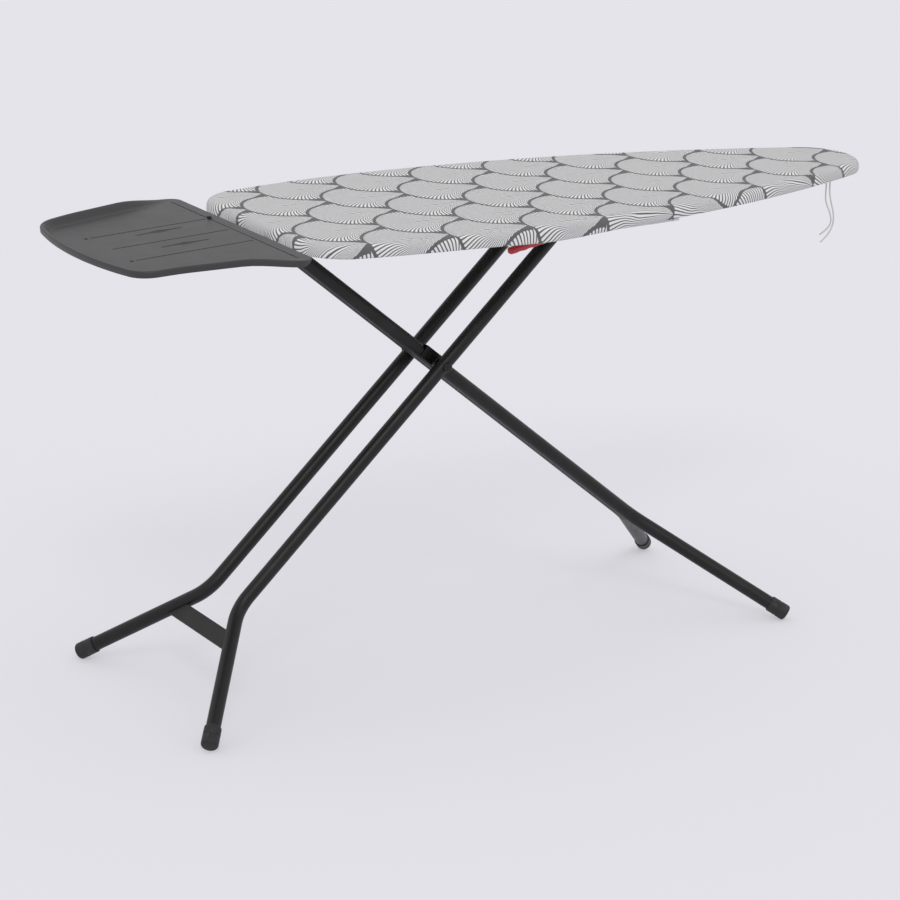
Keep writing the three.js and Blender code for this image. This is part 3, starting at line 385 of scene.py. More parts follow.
def printed_cotton():
    """White cotton printed with rows of shell fans, each half covered by its neighbours.

    A fan starts in a round rim towards the heel and its ribs run together towards the nose.
    Lengths are in mm.
    """
    g = Graph("printed_cotton")
    flat = g.tree.nodes.new("ShaderNodeUVMap")
    flat.uv_map = "flat"
    x, y, _ = g.tree.nodes.new("ShaderNodeSeparateXYZ").outputs
    g.link(flat.outputs["UV"], x.node.inputs[0])
    wobble = g.span(g.noise(flat.outputs["UV"], 30, 2), -2.0, 2.0)
    from_x = g.math("SUBTRACT", g.math("ADD", g.math("MULTIPLY", x, 1000), wobble), FAN_START[0])
    from_y = g.math("SUBTRACT", g.math("ADD", g.math("MULTIPLY", y, 1000), wobble), FAN_START[1])
    along = g.math("SUBTRACT", from_x, g.math("MULTIPLY", from_y, COLUMN_DRIFT))
    across = g.math("ADD", from_y, g.math("MULTIPLY", from_x, ROW_SLOPE))
    half_length = sizes().print_width * 500
    row = sizes().print_row * 1000
    radius = half_length * FAN_RIM

    # every half length a new column of fans starts, moved sideways by one row
    column = g.math("ADD", g.math("DIVIDE", along, half_length), 40)
    number = g.math("FLOOR", column)
    start = g.math("MULTIPLY", g.math("FRACT", column), half_length)
    odd = g.math("MODULO", number, 2)
    front_side = off_axis(g, across, odd, row)
    back_side = off_axis(g, across, g.math("SUBTRACT", 1, odd), row)
    from_centre = g.math("SUBTRACT", start, radius)
    rim = g.math("SQRT", g.math("ADD", square(g, from_centre), square(g, front_side)))
    back = g.math("GREATER_THAN", rim, radius)
    place_along = g.math("ADD", start, g.math("MULTIPLY", back, half_length))
    place_across = choose(g, back, front_side, back_side)

    # ribs: square to the rim where they start, then bending over to run together at the far end
    left = g.math("MINIMUM", g.math("SUBTRACT", place_along, radius), 0)
    reach = g.math("SQRT", g.math("ADD", square(g, left), square(g, place_across)))
    pull = g.math("SUBTRACT", 1, g.math("DIVIDE", reach, radius), True)
    bend = square(g, square(g, pull))
    pole = g.math("ADD", radius, g.math("MULTIPLY", bend, half_length * RIB_PULL))
    angle = g.math("ARCTAN2", place_across, g.math("SUBTRACT", pole, place_along))
    turn = g.math("FRACT", g.math("ADD", g.math("DIVIDE", angle, math.radians(RIB_ANGLE)), 50))
    swell = g.math("ABSOLUTE", g.math("SUBTRACT", turn, 0.5))        # 0.5 in the gap, 0 on the rib
    gap_edge = 0.5 - RIB_GAP / 2
    gap = g.step(swell, gap_edge - 0.05, gap_edge + 0.05)

    # rim line, scalloped by the rounded ends of the ribs, and the dark corners where three fans meet
    into = g.math("SUBTRACT", radius, rim)
    bite = g.math("ADD", 3.3, g.math("MULTIPLY", square(g, swell), 11))
    edge = g.math("SUBTRACT", 1, g.step(g.math("SUBTRACT", into, bite), -0.5, 0.5))
    front_edge = g.math("MULTIPLY", edge, g.math("SUBTRACT", 1, back))
    last = g.math("SUBTRACT", 2 * half_length, place_along)
    corner_side = g.math("ADD", g.math("MULTIPLY", last, 0.75), 1.5)
    corner = g.step(g.math("SUBTRACT", g.math("ABSOLUTE", place_across), corner_side), -0.5, 0.5)
    near_end = g.math("LESS_THAN", last, 24)
    back_corner = g.math("MULTIPLY", g.math("MULTIPLY", corner, near_end), back)
    shadow_line = g.math("MULTIPLY", g.math("GREATER_THAN", into, -2.2), back)
    ink = g.math("MAXIMUM", g.math("MAXIMUM", front_edge, back_corner), g.math("MAXIMUM", gap, shadow_line))

    tone = colours()
    dye = g.noise(flat.outputs["UV"], 55, 3)
    light = g.mix(dye, shade(tone.cotton_light, 0.95), shade(tone.cotton_light, 1.03))
    dark = g.mix(dye, shade(tone.cotton_ink, 0.9), shade(tone.cotton_ink, 1.15))
    printed = g.mix(ink, light, dark)

    # plain weave, and the print a little broken by it
    weave = cotton_weave(g, x, y)
    slub = g.noise(flat.outputs["UV"], 240, 4)
    worn = g.mix(g.span(weave, 0.0, 0.08), printed, tone.cotton_light)
    colour = g.mix(g.span(slub, 0.0, 0.10), worn, tone.cotton_plain)
    soft_folds = g.noise(flat.outputs["UV"], 9, 3)
    normal = g.bump(weave, 0.00025, 0.55, g.bump(soft_folds, 0.0022, 0.35))
    material = g.finish(colour, g.span(slub, 0.82, 0.95), normal)
    g.shader.inputs["Sheen Weight"].default_value = 0.08
    g.shader.inputs["Specular IOR Level"].default_value = 0.2
    return material


def square(g, value):
    return g.math("MULTIPLY", value, value)


def choose(g, share, a, b):
    """b where share is 1, a where it is 0."""
    return g.math("ADD", g.math("MULTIPLY", g.math("SUBTRACT", b, a), share), a)


def off_axis(g, across, odd, row):
    """Distance from the axis of the nearest fan of a column, from -row to row."""
    moved = g.math("SUBTRACT", across, g.math("MULTIPLY", odd, row))
    turns = g.math("ADD", g.math("DIVIDE", moved, 2 * row), 20.5)
    return g.math("MULTIPLY", g.math("SUBTRACT", g.math("FRACT", turns), 0.5), 2 * row)


def cotton_weave(g, x, y):
    """Over and under of a plain weave, two threads to the millimetre."""
    turns = 2 * math.pi * 900
    warp = g.math("SINE", g.math("MULTIPLY", x, turns))
    weft = g.math("SINE", g.math("MULTIPLY", y, turns))
    return g.span(g.math("MULTIPLY", warp, weft), 0.5, 1.0)


# ---------------------------------------------------------------- mesh helpers
def add_piece(name, verts, faces, material, body, sharp=35):
    """A mesh piece, smooth except over edges sharper than the given angle, riding on a body."""
    mesh = bpy.data.meshes.new(name)
    mesh.from_pydata([tuple(v) for v in verts], [], faces)
    tidy = bmesh.new()
    tidy.from_mesh(mesh)
    bmesh.ops.remove_doubles(tidy, verts=tidy.verts, dist=1e-6)
    bmesh.ops.recalc_face_normals(tidy, faces=tidy.faces)
    tidy.to_mesh(mesh)
    tidy.free()
    return add_object(name, mesh, material, body, sharp)


def add_object(name, mesh, material, body, sharp=35):
    piece = bpy.data.objects.new(name, mesh)
    bpy.context.scene.collection.objects.link(piece)
    mesh.materials.clear()
    mesh.materials.append(material)
    smooth(mesh, sharp)
    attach(piece, body)
    return piece


def smooth(mesh, sharp):
    for polygon in mesh.polygons:
        polygon.use_smooth = True
    mesh.set_sharp_from_angle(angle=math.radians(sharp))


def loft(rings, looped=False, capped=True):
    """Skins a row of equal closed rings."""
    sides = len(rings[0])
    verts = [v for ring in rings for v in ring]
    faces = []
    spans = len(rings) if looped else len(rings) - 1
    for i in range(spans):
        a = i * sides
        b = ((i + 1) % len(rings)) * sides
        for j in range(sides):
            k = (j + 1) % sides
            faces.append((a + j, a + k, b + k, b + j))
    if capped and not looped:
        faces.append(tuple(range(sides)))
        faces.append(tuple(range(len(verts) - sides, len(verts))))
    return verts, faces


def smooth_rings(rings, steps):
    """Puts extra rings between the given ones, along a smooth curve through each column of points."""
    made = []
    last = len(rings) - 1
    for i in range(last):
        for k in range(steps):
            t = k / steps
            ring = []
            for j in range(len(rings[0])):
                p0 = rings[max(i - 1, 0)][j]
                p1 = rings[i][j]
                p2 = rings[i + 1][j]
                p3 = rings[min(i + 2, last)][j]
                ring.append(0.5 * (2 * p1 + (p2 - p0) * t + (2 * p0 - 5 * p1 + 4 * p2 - p3) * t * t
                                   + (3 * p1 - p0 - 3 * p2 + p3) * t ** 3))
            made.append(ring)
    made.append(rings[last])
    return made


def turned(profile, start, direction, sides=40):
    """Turns a profile of (radius, distance) in mm about an axis through start."""
    turn = Vector((0, 0, 1)).rotation_difference(direction.normalized())
    rings = []
    for radius, along in profile:
        ring = []
        for i in range(sides):
            a = 2 * math.pi * i / sides
            point = Vector((radius * math.cos(a), radius * math.sin(a), along)) / 1000
            ring.append(start + turn @ point)
        rings.append(ring)
    return loft(rings)


def sweep(points, radii, sides=32, cap=True):
    """A round tube along points, in metres, carrying its section round without twist."""
    rings = []
    side = None
    for i, point in enumerate(points):
        ahead = (points[min(i + 1, len(points) - 1)] - points[max(i - 1, 0)]).normalized()
        if side is None:
            side = ahead.orthogonal().normalized()
        side = (side - ahead * side.dot(ahead)).normalized()
        other = ahead.cross(side)
        ring = []
        for k in range(sides):
            a = 2 * math.pi * k / sides
            ring.append(point + (side * math.cos(a) + other * math.sin(a)) * radii[i])
        rings.append(ring)
    return loft(rings, capped=cap)


def catmull(points, steps):
    """More points along a smooth curve through the given ones."""
    return [ring[0] for ring in smooth_rings([[p] for p in points], steps)]


def box_mesh(low, high):
    sides = list(zip(low, high))
    corners = [Vector((x, y, z)) for x in sides[0] for y in sides[1] for z in sides[2]]
    faces = [(0, 1, 3, 2), (4, 6, 7, 5), (0, 4, 5, 1), (2, 3, 7, 6), (0, 2, 6, 4), (1, 5, 7, 3)]
    return corners, faces


def soften(piece, width, sharp=35):
    """Rounds a piece's edges a little, as pressing and moulding leave them."""
    weld = piece.modifiers.new("Weld", "WELD")
    weld.merge_threshold = 0.00001
    bevel = piece.modifiers.new("Rounded edges", "BEVEL")
    bevel.width = width
    bevel.segments = 2
    bevel.limit_method = "ANGLE"
    bevel.angle_limit = math.radians(sharp)


def applied(piece):
    """The piece's mesh with its modifiers applied."""
    graph = bpy.context.evaluated_depsgraph_get()
    mesh = bpy.data.meshes.new_from_object(piece.evaluated_get(graph))
    piece.modifiers.clear()
    piece.data = mesh
    return mesh


# ---------------------------------------------------------------- board outline
def board_outline(inset, fine=1):
    """Points round the board, in mm, set in from its edge. Tangent arcs, so only the radii change."""
    half = BOARD_WIDTH / 2
    nose_centre = BOARD_LENGTH / 2 - NOSE_RADIUS
    run = nose_centre - WIDEST_X
    flank = (run * run + half * half - NOSE_RADIUS ** 2) / (2 * (half - NOSE_RADIUS))
    flank_angle = math.atan2(run, flank - half)
    corner_x = HEEL_X + HEEL_CORNER_RADIUS
    reach = HEEL_SIDE_RADIUS - HEEL_CORNER_RADIUS
    corner_angle = math.asin((corner_x - WIDEST_X) / reach)
    corner_y = half - HEEL_SIDE_RADIUS + reach * math.cos(corner_angle)
    arcs = [
        (nose_centre, 0, NOSE_RADIUS, math.pi / 2, flank_angle, 6),
        (WIDEST_X, half - flank, flank, flank_angle, 0, 36),
        (WIDEST_X, half - HEEL_SIDE_RADIUS, HEEL_SIDE_RADIUS, 0, corner_angle, 10),
        (corner_x, corner_y, HEEL_CORNER_RADIUS, corner_angle, -math.pi / 2, 8),
    ]
    side = []
    for cx, cy, radius, start, end, steps in arcs:
        for i in range(steps * fine):
            a = start + (end - start) * i / (steps * fine)
            side.append((cx + (radius - inset) * math.sin(a), cy + (radius - inset) * math.cos(a)))
    heel_steps = 5 * fine
    for i in range(heel_steps):
        side.append((HEEL_X + inset, corner_y * (1 - i / heel_steps)))
    return side + [(HEEL_X + inset, 0)] + [(x, -y) for x, y in reversed(side[1:])]


def outline_ring(inset, z, fine=1):
    return [place(x, y, z) for x, y in board_outline(inset, fine)]


# ---------------------------------------------------------------- cover
FLAT_START = 16          # mm in from the edge, where the top is level
COVER_PROFILE = [
    (16, 787), (12.6, 786.95), (9.6, 786.6), (6.8, 785.7), (4.4, 784.2), (2.5, 782.2), (1.1, 779.9),
    (0.35, 777.4), (0.1, 774.6), (0, 771.8), (0.1, 769.4), (0.7, 767.2), (2.2, 765.9), (4.6, 765.5),
    (9, 765.4), (14, 765.4), (18.5, 765.2), (21, 764.9), (24, 764.7), (26.5, 765.3), (27.6, 766.6),
    (27, 768), (24.6, 768.8), (21.5, 768.6),
]
COVER_FINE = 5
HEM_SAG = 5.5                # how much lower the near hem hangs over the grip, mm
HEM_SAG_X = -190
HEM_SAG_HALF = 110


def cover_displaced(point, inset, z, travelled, lift):
    """Moves a point of the cover by its gathers: none on top, soft on the side, deepest at the inner hem."""
    if z > 785.5:
        return point
    on_side = smoothstep(785.5 - z, 0, 12)
    under = smoothstep(inset, 3, 24) if z < 769.5 else 0
    ripple = math.sin(travelled / 3.1 + 1.7 * noise.noise(Vector((travelled / 60, 3.0, 0))))
    slow = noise.noise(Vector((travelled / 26, 0.7, z / 60)))
    out = place_normal(point)
    moved = point - out * (0.0004 * on_side * (1 + slow))
    moved = moved + Vector((0, 0, lift * under * (0.5 + 0.5 * ripple) * (0.75 + 0.4 * slow)))
    if point.y < 0:
        off = (point.x - place(HEM_SAG_X, 0, 0).x) * 1000 / HEM_SAG_HALF
        moved.z -= HEM_SAG / 1000 * math.exp(-off * off) * smoothstep(785.5 - z, 2, 19)
    return moved


def place_normal(point):
    """Rough outward direction of the board's edge, level."""
    middle = place(WIDEST_X + 200, 0, 0)
    away = Vector((0.35 * (point.x - middle.x), point.y - middle.y, 0))
    return away.normalized()


def make_cover():
    """One sheet: a level top cut into a grid, a rounded edge, the skirt and the rolled hem, shaped round the
    cord that it carries.
    """
    outline = board_outline(0, COVER_FINE)
    travelled = [0.0]
    for (ax, ay), (bx, by) in zip(outline, outline[1:]):
        travelled.append(travelled[-1] + math.hypot(bx - ax, by - ay))
    mesh = bmesh.new()
    flat = mesh.loops.layers.uv.new("flat")
    drawn = mesh.verts.layers.float_vector.new("drawn")
    rings = []
    length = 0.0
    before = None
    for inset, z in COVER_PROFILE:
        if before is not None:
            length += math.hypot(inset - before[0], z - before[1])
        before = (inset, z)
        spread = board_outline(FLAT_START - length, COVER_FINE)
        ring = []
        for i, (x, y) in enumerate(board_outline(inset, COVER_FINE)):
            point = cover_displaced(place(x, y, z), inset, z, travelled[i], sizes().pucker)
            vert = mesh.verts.new(point)
            vert[drawn] = (spread[i][0] / 1000, spread[i][1] / 1000, 0)
            ring.append(vert)
        rings.append(ring)
    count = len(rings[0])
    for upper, lower in zip(rings, rings[1:]):
        for j in range(count):
            k = (j + 1) % count
            mesh.faces.new((upper[j], lower[j], lower[k], upper[k]))
    mesh.faces.new(rings[0])
    grid_top(mesh)
    raise_top(mesh, drawn)
    for face in mesh.faces:
        for loop in face.loops:
            loop[flat].uv = loop.vert[drawn][:2]
    bmesh.ops.recalc_face_normals(mesh, faces=mesh.faces)
    data = bpy.data.meshes.new("cover_cotton")
    mesh.to_mesh(data)
    mesh.free()
    data.attributes.remove(data.attributes["drawn"])
    piece = add_object("cover_cotton", data, printed_cotton(), "board", 60)
    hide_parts("cover")
    spread = 2 * (length - FLAT_START)
    return piece


def grid_top(mesh):
    """Cuts the level top into cells of about 20 mm, so that it can rise and fall."""
    cell = 20
    cuts = [(place(x, 0, 0), (1, 0, 0)) for x in range(-600, 610, cell)]
    cuts += [(place(0, y, 0), (0, 1, 0)) for y in range(-220, 230, cell)]
    for point, normal in cuts:
        level = place(0, 0, TOP_Z).z
        faces = [f for f in mesh.faces if all(abs(v.co.z - level) < 1e-7 for v in f.verts)]
        edges = {e for f in faces for e in f.edges}
        verts = {v for f in faces for v in f.verts}
        bmesh.ops.bisect_plane(mesh, geom=list(verts) + list(edges) + faces, dist=1e-7,
                               plane_co=point, plane_no=normal)


def raise_top(mesh, drawn):
    """Gives new points of the top their place on the flat cotton, and lets the padding show through."""
    level = place(0, 0, TOP_Z).z
    for vert in mesh.verts:
        if abs(vert.co.z - level) < 1e-7:
            at = vert.co - SHIFT
            vert[drawn] = (at.x, at.y, 0)
            inner = not vert.is_boundary and all(abs(e.other_vert(vert).co.z - level) < 0.0006
                                                 for e in vert.link_edges)
            if inner:
                sway = noise.noise(Vector((at.x * 7, at.y * 9, 0.3)))
                vert.co.z -= 0.00045 * (1 + sway)


def make_pad():
    """Pressed felt under the cotton, its edge rolled over by the cover's pull."""
    bottom = MESH_TOP_Z + 0.4
    profile = [(14, bottom), (4, bottom), (2.4, bottom + 0.5), (1.9, bottom + 2), (2.1, 780), (3.1, 782),
               (4.8, 783.6), (7.2, 784.6), (10.5, 785.2), (16, 785.3)]
    rings = smooth_rings([outline_ring(inset, z, 2) for inset, z in profile], 2)
    verts, faces = loft(rings)
    piece = add_piece("pad_felt", verts, faces, felt(), "board", 60)
    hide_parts("felt_pad")
    return piece


def make_mesh_top():
    """Expanded steel: diamond openings inside a plain rim."""
    steel = frame_steel()
    top = MESH_TOP_Z
    low = MESH_TOP_Z - MESH_THICKNESS
    rim = [(2.8, low), (2.8, top), (17, top), (17, low)]
    verts, faces = loft([outline_ring(inset, z, 2) for inset, z in rim], looped=True)
    edge = add_piece("mesh_rim", verts, faces, steel, "board")

    pitch = sizes().mesh_pitch * 1000
    step_x = pitch / 2
    step_y = pitch / 4
    inside = board_outline(15)
    points = {}
    cells = []

    def corner(i, j):
        if (i, j) not in points:
            points[(i, j)] = len(points)
        return points[(i, j)]

    for i in range(int(-620 / step_x), int(620 / step_x)):
        for j in range(int(-235 / step_y), int(235 / step_y)):
            if (i + j) % 2 or not within(inside, i * step_x, j * step_y):
                continue
            cells.append((corner(i - 1, j), corner(i, j - 1), corner(i + 1, j), corner(i, j + 1)))
    verts = [place(i * step_x, j * step_y, (top + low) / 2) for i, j in points]
    mesh = bpy.data.meshes.new("mesh_steel")
    mesh.from_pydata([tuple(v) for v in verts], [], cells)
    piece = bpy.data.objects.new("mesh_steel", mesh)
    bpy.context.scene.collection.objects.link(piece)
    strands = piece.modifiers.new("Strands", "WIREFRAME")
    strands.thickness = 0.0012
    strands.use_even_offset = False
    applied(piece)
    piece.data.materials.append(steel)
    smooth(piece.data, 35)
    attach(piece, "board")
    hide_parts("mesh_top")


def within(outline, x, y):
    inside = False
    for (ax, ay), (bx, by) in zip(outline, outline[1:] + outline[:1]):
        if (ay > y) != (by > y) and x < ax + (y - ay) * (bx - ax) / (by - ay):
            inside = not inside
    return inside


# ---------------------------------------------------------------- iron rest
REST_HOLES = [(-253, 76.6), (-253, -76.6), (-33, 78), (-33, -78)]
REST_GROOVES = [(-178.5, 51, -96, 53.5), (-179, -32, -95.5, -33)]
REST_LINES = [76.6, 0, -76.6]


def rest_to_frame():
    return (Matrix.Translation(place(HEEL_X, 0, REST_ORIGIN_Z))
            @ Matrix.Rotation(-REST_TILT, 4, "Y") @ Matrix.Scale(0.001, 4))


def rest_outline(inset):
    half = []

    def arc(cu, cv, radius, start, end, steps):
        for i in range(steps + 1):
            a = start + (end - start) * i / steps
            half.append((cu + (radius - inset) * math.cos(a), cv + (radius - inset) * math.sin(a)))

    def line(u, v, steps):
        u0, v0 = half[-1]
        for i in range(1, steps):
            half.append((u0 + (u - u0) * i / steps, v0 + (v - v0) * i / steps))

    front_corner = 20
    end_corner = 46
    end_arc = 620
    side_lean = 0.19
    side_angle = math.pi / 2 + math.atan(side_lean)
    half.append((REST_EDGE_U - inset, 0))
    line(REST_EDGE_U - inset, 204, 10)
    arc(REST_EDGE_U - front_corner, 224 - front_corner, front_corner, 0, side_angle, 10)
    corner_u = -252
    corner_v = (224 - front_corner + (corner_u - REST_EDGE_U + front_corner) * side_lean
                - (end_corner - front_corner) / math.cos(math.atan(side_lean)))
    start_u = corner_u + (end_corner - inset) * math.cos(side_angle)
    start_v = corner_v + (end_corner - inset) * math.sin(side_angle)
    line(start_u, start_v, 14)
    end_angle = math.pi - math.asin(corner_v / (end_arc - end_corner))
    arc(corner_u, corner_v, end_corner, side_angle, end_angle, 14)
    centre_u = corner_u + (end_arc - end_corner) * math.cos(math.pi - end_angle)
    for i in range(1, 13):
        a = end_angle + (math.pi - end_angle) * i / 12
        half.append((centre_u + (end_arc - inset) * math.cos(a), (end_arc - inset) * math.sin(a)))
    return half + [(u, -v) for u, v in reversed(half[1:-1])]


def rim_height(u):
    rise = smoothstep(REST_EDGE_U - u, 6, 120)
    ease = smoothstep(REST_EDGE_U - u, 200, 296)
    return REST_RIM * rise - 3 * ease


def skirt_depth(u):
    return 4 + (REST_SKIRT - 4) * smoothstep(REST_EDGE_U - u, 2, 24)


def rest_shell():
    base = rest_outline(0)
    f = REST_FLOOR

    def ring(inset, height):
        return [Vector((u, v, height(rim_height(base[i][0]), skirt_depth(base[i][0]))))
                for i, (u, v) in enumerate(rest_outline(inset))]

    upper = [
        ring(22, lambda h, s: 0), ring(19, lambda h, s: 0.01 * h), ring(14, lambda h, s: 0.15 * h),
        ring(9.4, lambda h, s: 0.55 * h), ring(6, lambda h, s: 0.86 * h), ring(3.6, lambda h, s: h - 0.2),
        ring(2.2, lambda h, s: h), ring(0.8, lambda h, s: h - 0.8), ring(0, lambda h, s: h - 2.8),
    ]
    lower = [
        ring(0.5, lambda h, s: h - s + 0.8), ring(1.2, lambda h, s: h - s), ring(3, lambda h, s: h - s),
        ring(3.1, lambda h, s: h - 3.9), ring(6.8, lambda h, s: h - 3.8),
        ring(10.4, lambda h, s: 0.5 * h - f),
        ring(15, lambda h, s: 0.08 * h - f), ring(19.5, lambda h, s: -f), ring(22, lambda h, s: -f),
    ]
    return loft(smooth_rings(upper, 3) + lower)


def groove_shape(u0, v0, u1, v1, sections):
    """A long groove that swells at the middle: each section is a share of its width and a height."""
    along = Vector((u1 - u0, v1 - v0, 0))
    length = along.length
    ahead = along.normalized()
    across = Vector((-ahead.y, ahead.x, 0))
    stations = [0, 0.015, 0.04, 0.2, 0.3, 0.36, 0.43, 0.5, 0.57, 0.64, 0.7, 0.8, 0.96, 0.985, 1]
    halves = [0.9, 1.7, 2.1, 2.5, 3.0, 4.3, 6.2, 7.2, 6.2, 4.3, 3.0, 2.5, 2.1, 1.7, 0.9]
    edge = [(s * length, -w) for s, w in zip(stations, halves)]
    edge += [(s * length, w) for s, w in reversed(list(zip(stations, halves)))]
    start = Vector((u0, v0, 0))
    rings = []
    for draw, z in sections:
        rings.append([start + ahead * a + across * b * draw + Vector((0, 0, z)) for a, b in edge])
    return loft(rings)


def make_iron_rest():
    matrix = rest_to_frame()
    verts, faces = rest_shell()
    shell = add_piece("iron_rest_moulded", [matrix @ v for v in verts], faces, rest_plastic(), "board")
    tools = []
    for u, v in REST_HOLES:
        tools.append(cylinder_mm(u, v, 3.4, -8, 4))
    for groove in REST_GROOVES:
        tools.append(groove_shape(*groove, ((0.82, -1.9), (1.0, -0.1), (1.02, 3))))
    for v in REST_LINES:
        tools.append(box_mesh((-246, v - 1.3, -0.55), (-41, v + 1.3, 3)))
    for v in (48, -48):
        for u in (-80, -230):
            tools.append(cylinder_mm(u, v, 2.2, -7, -1.5))
    for verts, faces in tools:
        carve(shell, [matrix @ v for v in verts], faces)
    bevel = shell.modifiers.new("Moulded edges", "BEVEL")
    bevel.width = 0.0005
    bevel.segments = 2
    bevel.limit_method = "ANGLE"
    bevel.angle_limit = math.radians(40)
    smooth(applied(shell), 40)
    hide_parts("iron_rest")
    # painted shade: dark strips laid in the two grooves so that they render black
    make_rest_groove_painted_shade(matrix)


def make_rest_groove_painted_shade(matrix):
    """Dark strips in the foot rubber finish, lying in the two grooves just below the rest's floor: painted
    shade that makes the shallow grooves read black.
    """
    rubber = foot_rubber()
    for number, groove in enumerate(REST_GROOVES, 1):
        verts, faces = groove_shape(*groove, ((0.78, -1.8), (0.93, -0.3)))
        # each strip is painted shade in its groove
        strip = add_piece(f"rest_groove_painted_shade_{number}", [matrix @ v for v in verts], faces, rubber, "board")


def cylinder_mm(u, v, radius, low, high, sides=28):
    rings = []
    for z in (low, high):
        rings.append([Vector((u + radius * math.cos(2 * math.pi * i / sides),
                              v + radius * math.sin(2 * math.pi * i / sides), z)) for i in range(sides)])
    return loft(rings)


def carve(piece, verts, faces):
    """Takes one closed shape out of a piece."""
    mesh = bpy.data.meshes.new("cutter")
    mesh.from_pydata([tuple(v) for v in verts], [], faces)
    tidy = bmesh.new()
    tidy.from_mesh(mesh)
    bmesh.ops.recalc_face_normals(tidy, faces=tidy.faces)
    tidy.to_mesh(mesh)
    tidy.free()
    cutter = bpy.data.objects.new("cutter", mesh)
    bpy.context.scene.collection.objects.link(cutter)
    modifier = piece.modifiers.new("Carve", "BOOLEAN")
    modifier.operation = "DIFFERENCE"
    modifier.solver = "EXACT"
    modifier.object = cutter
    applied(piece)
    bpy.data.objects.remove(cutter)


# ---------------------------------------------------------------- legs
def inner_line(z):
    return CROSS[0] + (CROSS[1] - z) / math.tan(INNER_ANGLE)


def outer_line(z):
    return CROSS[0] - (CROSS[1] - z) / math.tan(OUTER_ANGLE)


def foot_end(bend, foot, side):
    """End of the tube, so that its rounded cap just rests on the floor."""
    end = Vector((foot[0], side * foot[1], CAP_RADIUS))
    for _ in range(6):
        direction = (end - bend).normalized()
        level = math.sqrt(1 - direction.z ** 2)
        end.z = CAP_ROUND + (CAP_RADIUS - CAP_ROUND) * level - (CAP_END - CAP_ROUND) * direction.z
    return end


def leg_points(top, bend, end):
    """Centre line in mm: straight, one smooth bend, straight."""
    d0 = (bend - top).normalized()
    d1 = (end - bend).normalized()
    turn = d0.angle(d1)
    tangent = BEND_RADIUS * math.tan(turn / 2)
    axis = d0.cross(d1).normalized()
    start = bend - d0 * tangent
    centre = start + axis.cross(d0) * BEND_RADIUS
    steps = 20
    points = [top, top.lerp(start, 0.5)]
    for i in range(steps + 1):
        points.append(centre + Matrix.Rotation(turn * i / steps, 3, axis) @ (start - centre))
    points.append(points[-1].lerp(end, 0.5))
    points.append(end)
    return points


def make_leg_tube(body, name, top, bend, foot, side, paint, rubber):
    end = foot_end(bend, foot, side)
    line = leg_points(top, bend, end)
    ahead = (line[1] - line[0]).normalized()
    stations = [line[0] - ahead * 0.0, line[0] + ahead * 0.4, line[0] + ahead * 1.2] + line[1:]
    radii = [TUBE_RADIUS - 1.4, TUBE_RADIUS - 0.4] + [TUBE_RADIUS] * (len(stations) - 2)
    verts, faces = sweep([place(*p) for p in stations], [r / 1000 for r in radii], 40)
    tube = add_piece(f"{name}_painted", verts, faces, paint, body)
    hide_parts(name)
    direction = (end - bend).normalized()
    cap_name = name.replace("tube", "foot_cap")
    verts, faces = turned(cap_profile(), place(*end), direction, 48)
    cap = add_piece(f"{cap_name}_rubber", verts, faces, rubber, body, 50)
    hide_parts(cap_name)


def cap_profile():
    """Foot cap from its rounded end back up the tube: a step half way and a thin lip."""
    profile = [(0.01, CAP_END)]
    straight = CAP_RADIUS - CAP_ROUND
    for i in range(9):
        a = math.pi / 2 * (1 - i / 8)
        profile.append((straight + CAP_ROUND * math.cos(a), CAP_END - CAP_ROUND + CAP_ROUND * math.sin(a)))
    profile += [
        (CAP_RADIUS, -10), (CAP_RADIUS - 0.1, -11.4), (CAP_RADIUS - 0.7, -12), (CAP_RADIUS - 0.7, -12.9),
        (CAP_RADIUS - 0.1, -13.5), (CAP_RADIUS - 0.2, -26.6), (CAP_RADIUS - 0.1, -27.4),
        (CAP_RADIUS - 0.3, -29),
        (CAP_RADIUS - 0.9, -29.9), (TUBE_RADIUS + 0.1, -30), (TUBE_RADIUS + 0.1, -28),
    ]
    return profile


def make_legs():
    paint = leg_paint()
    rubber = foot_rubber()
    for side_name, side in (("near", -1), ("far", 1)):
        y = side * INNER_TUBE_Y
        back = 8.6
        top_x = HEEL_PIVOT[0] + back * math.cos(INNER_ANGLE)
        top_z = PIVOT_Z - back * math.sin(INNER_ANGLE)
        top = Vector((top_x, y, top_z))
        bend = Vector((inner_line(INNER_BEND_Z), y, INNER_BEND_Z))
        make_leg_tube("inner_leg", f"inner_tube_{side_name}", top, bend, INNER_FOOT, side, paint, rubber)
        y = side * OUTER_TUBE_Y
        top_z = PIVOT_Z + 11 * math.sin(OUTER_ANGLE)
        top = Vector((outer_line(top_z), y, top_z))
        bend = Vector((outer_line(OUTER_BEND_Z), y, OUTER_BEND_Z))
        make_leg_tube("outer_leg", f"outer_tube_{side_name}", top, bend, OUTER_FOOT, side, paint, rubber)
    sleeve = [(4.3, -27), (9.4, -27), (10, -26.4), (10, 26.4), (9.4, 27), (4.3, 27)]
    add_turned("inner_leg_sleeve", sleeve, place(HEEL_PIVOT[0], 0, PIVOT_Z), Vector((0, 1, 0)), paint,
               "inner_leg", True)
    for name in ("crossing_saddle", "stretcher"):
        dress(name, paint, 0.0007)


def add_turned(node, profile, start, direction, material, body, looped=False, sides=40):
    """A turned piece that stands for a CAD node. A looped profile closes on itself, as a ring does."""
    if looped:
        turn = Vector((0, 0, 1)).rotation_difference(direction.normalized())
        rings = []
        for radius, along in profile:
            ring = []
            for i in range(sides):
                a = 2 * math.pi * i / sides
                spot = Vector((radius * math.cos(a), radius * math.sin(a), along)) / 1000
                ring.append(start + turn @ spot)
            rings.append(ring)
        verts, faces = loft(rings, looped=True)
    else:
        verts, faces = turned(profile, start, direction, sides)
    piece = add_piece(f"{node}_turned", verts, faces, material, body)
    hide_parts(node)
    return piece


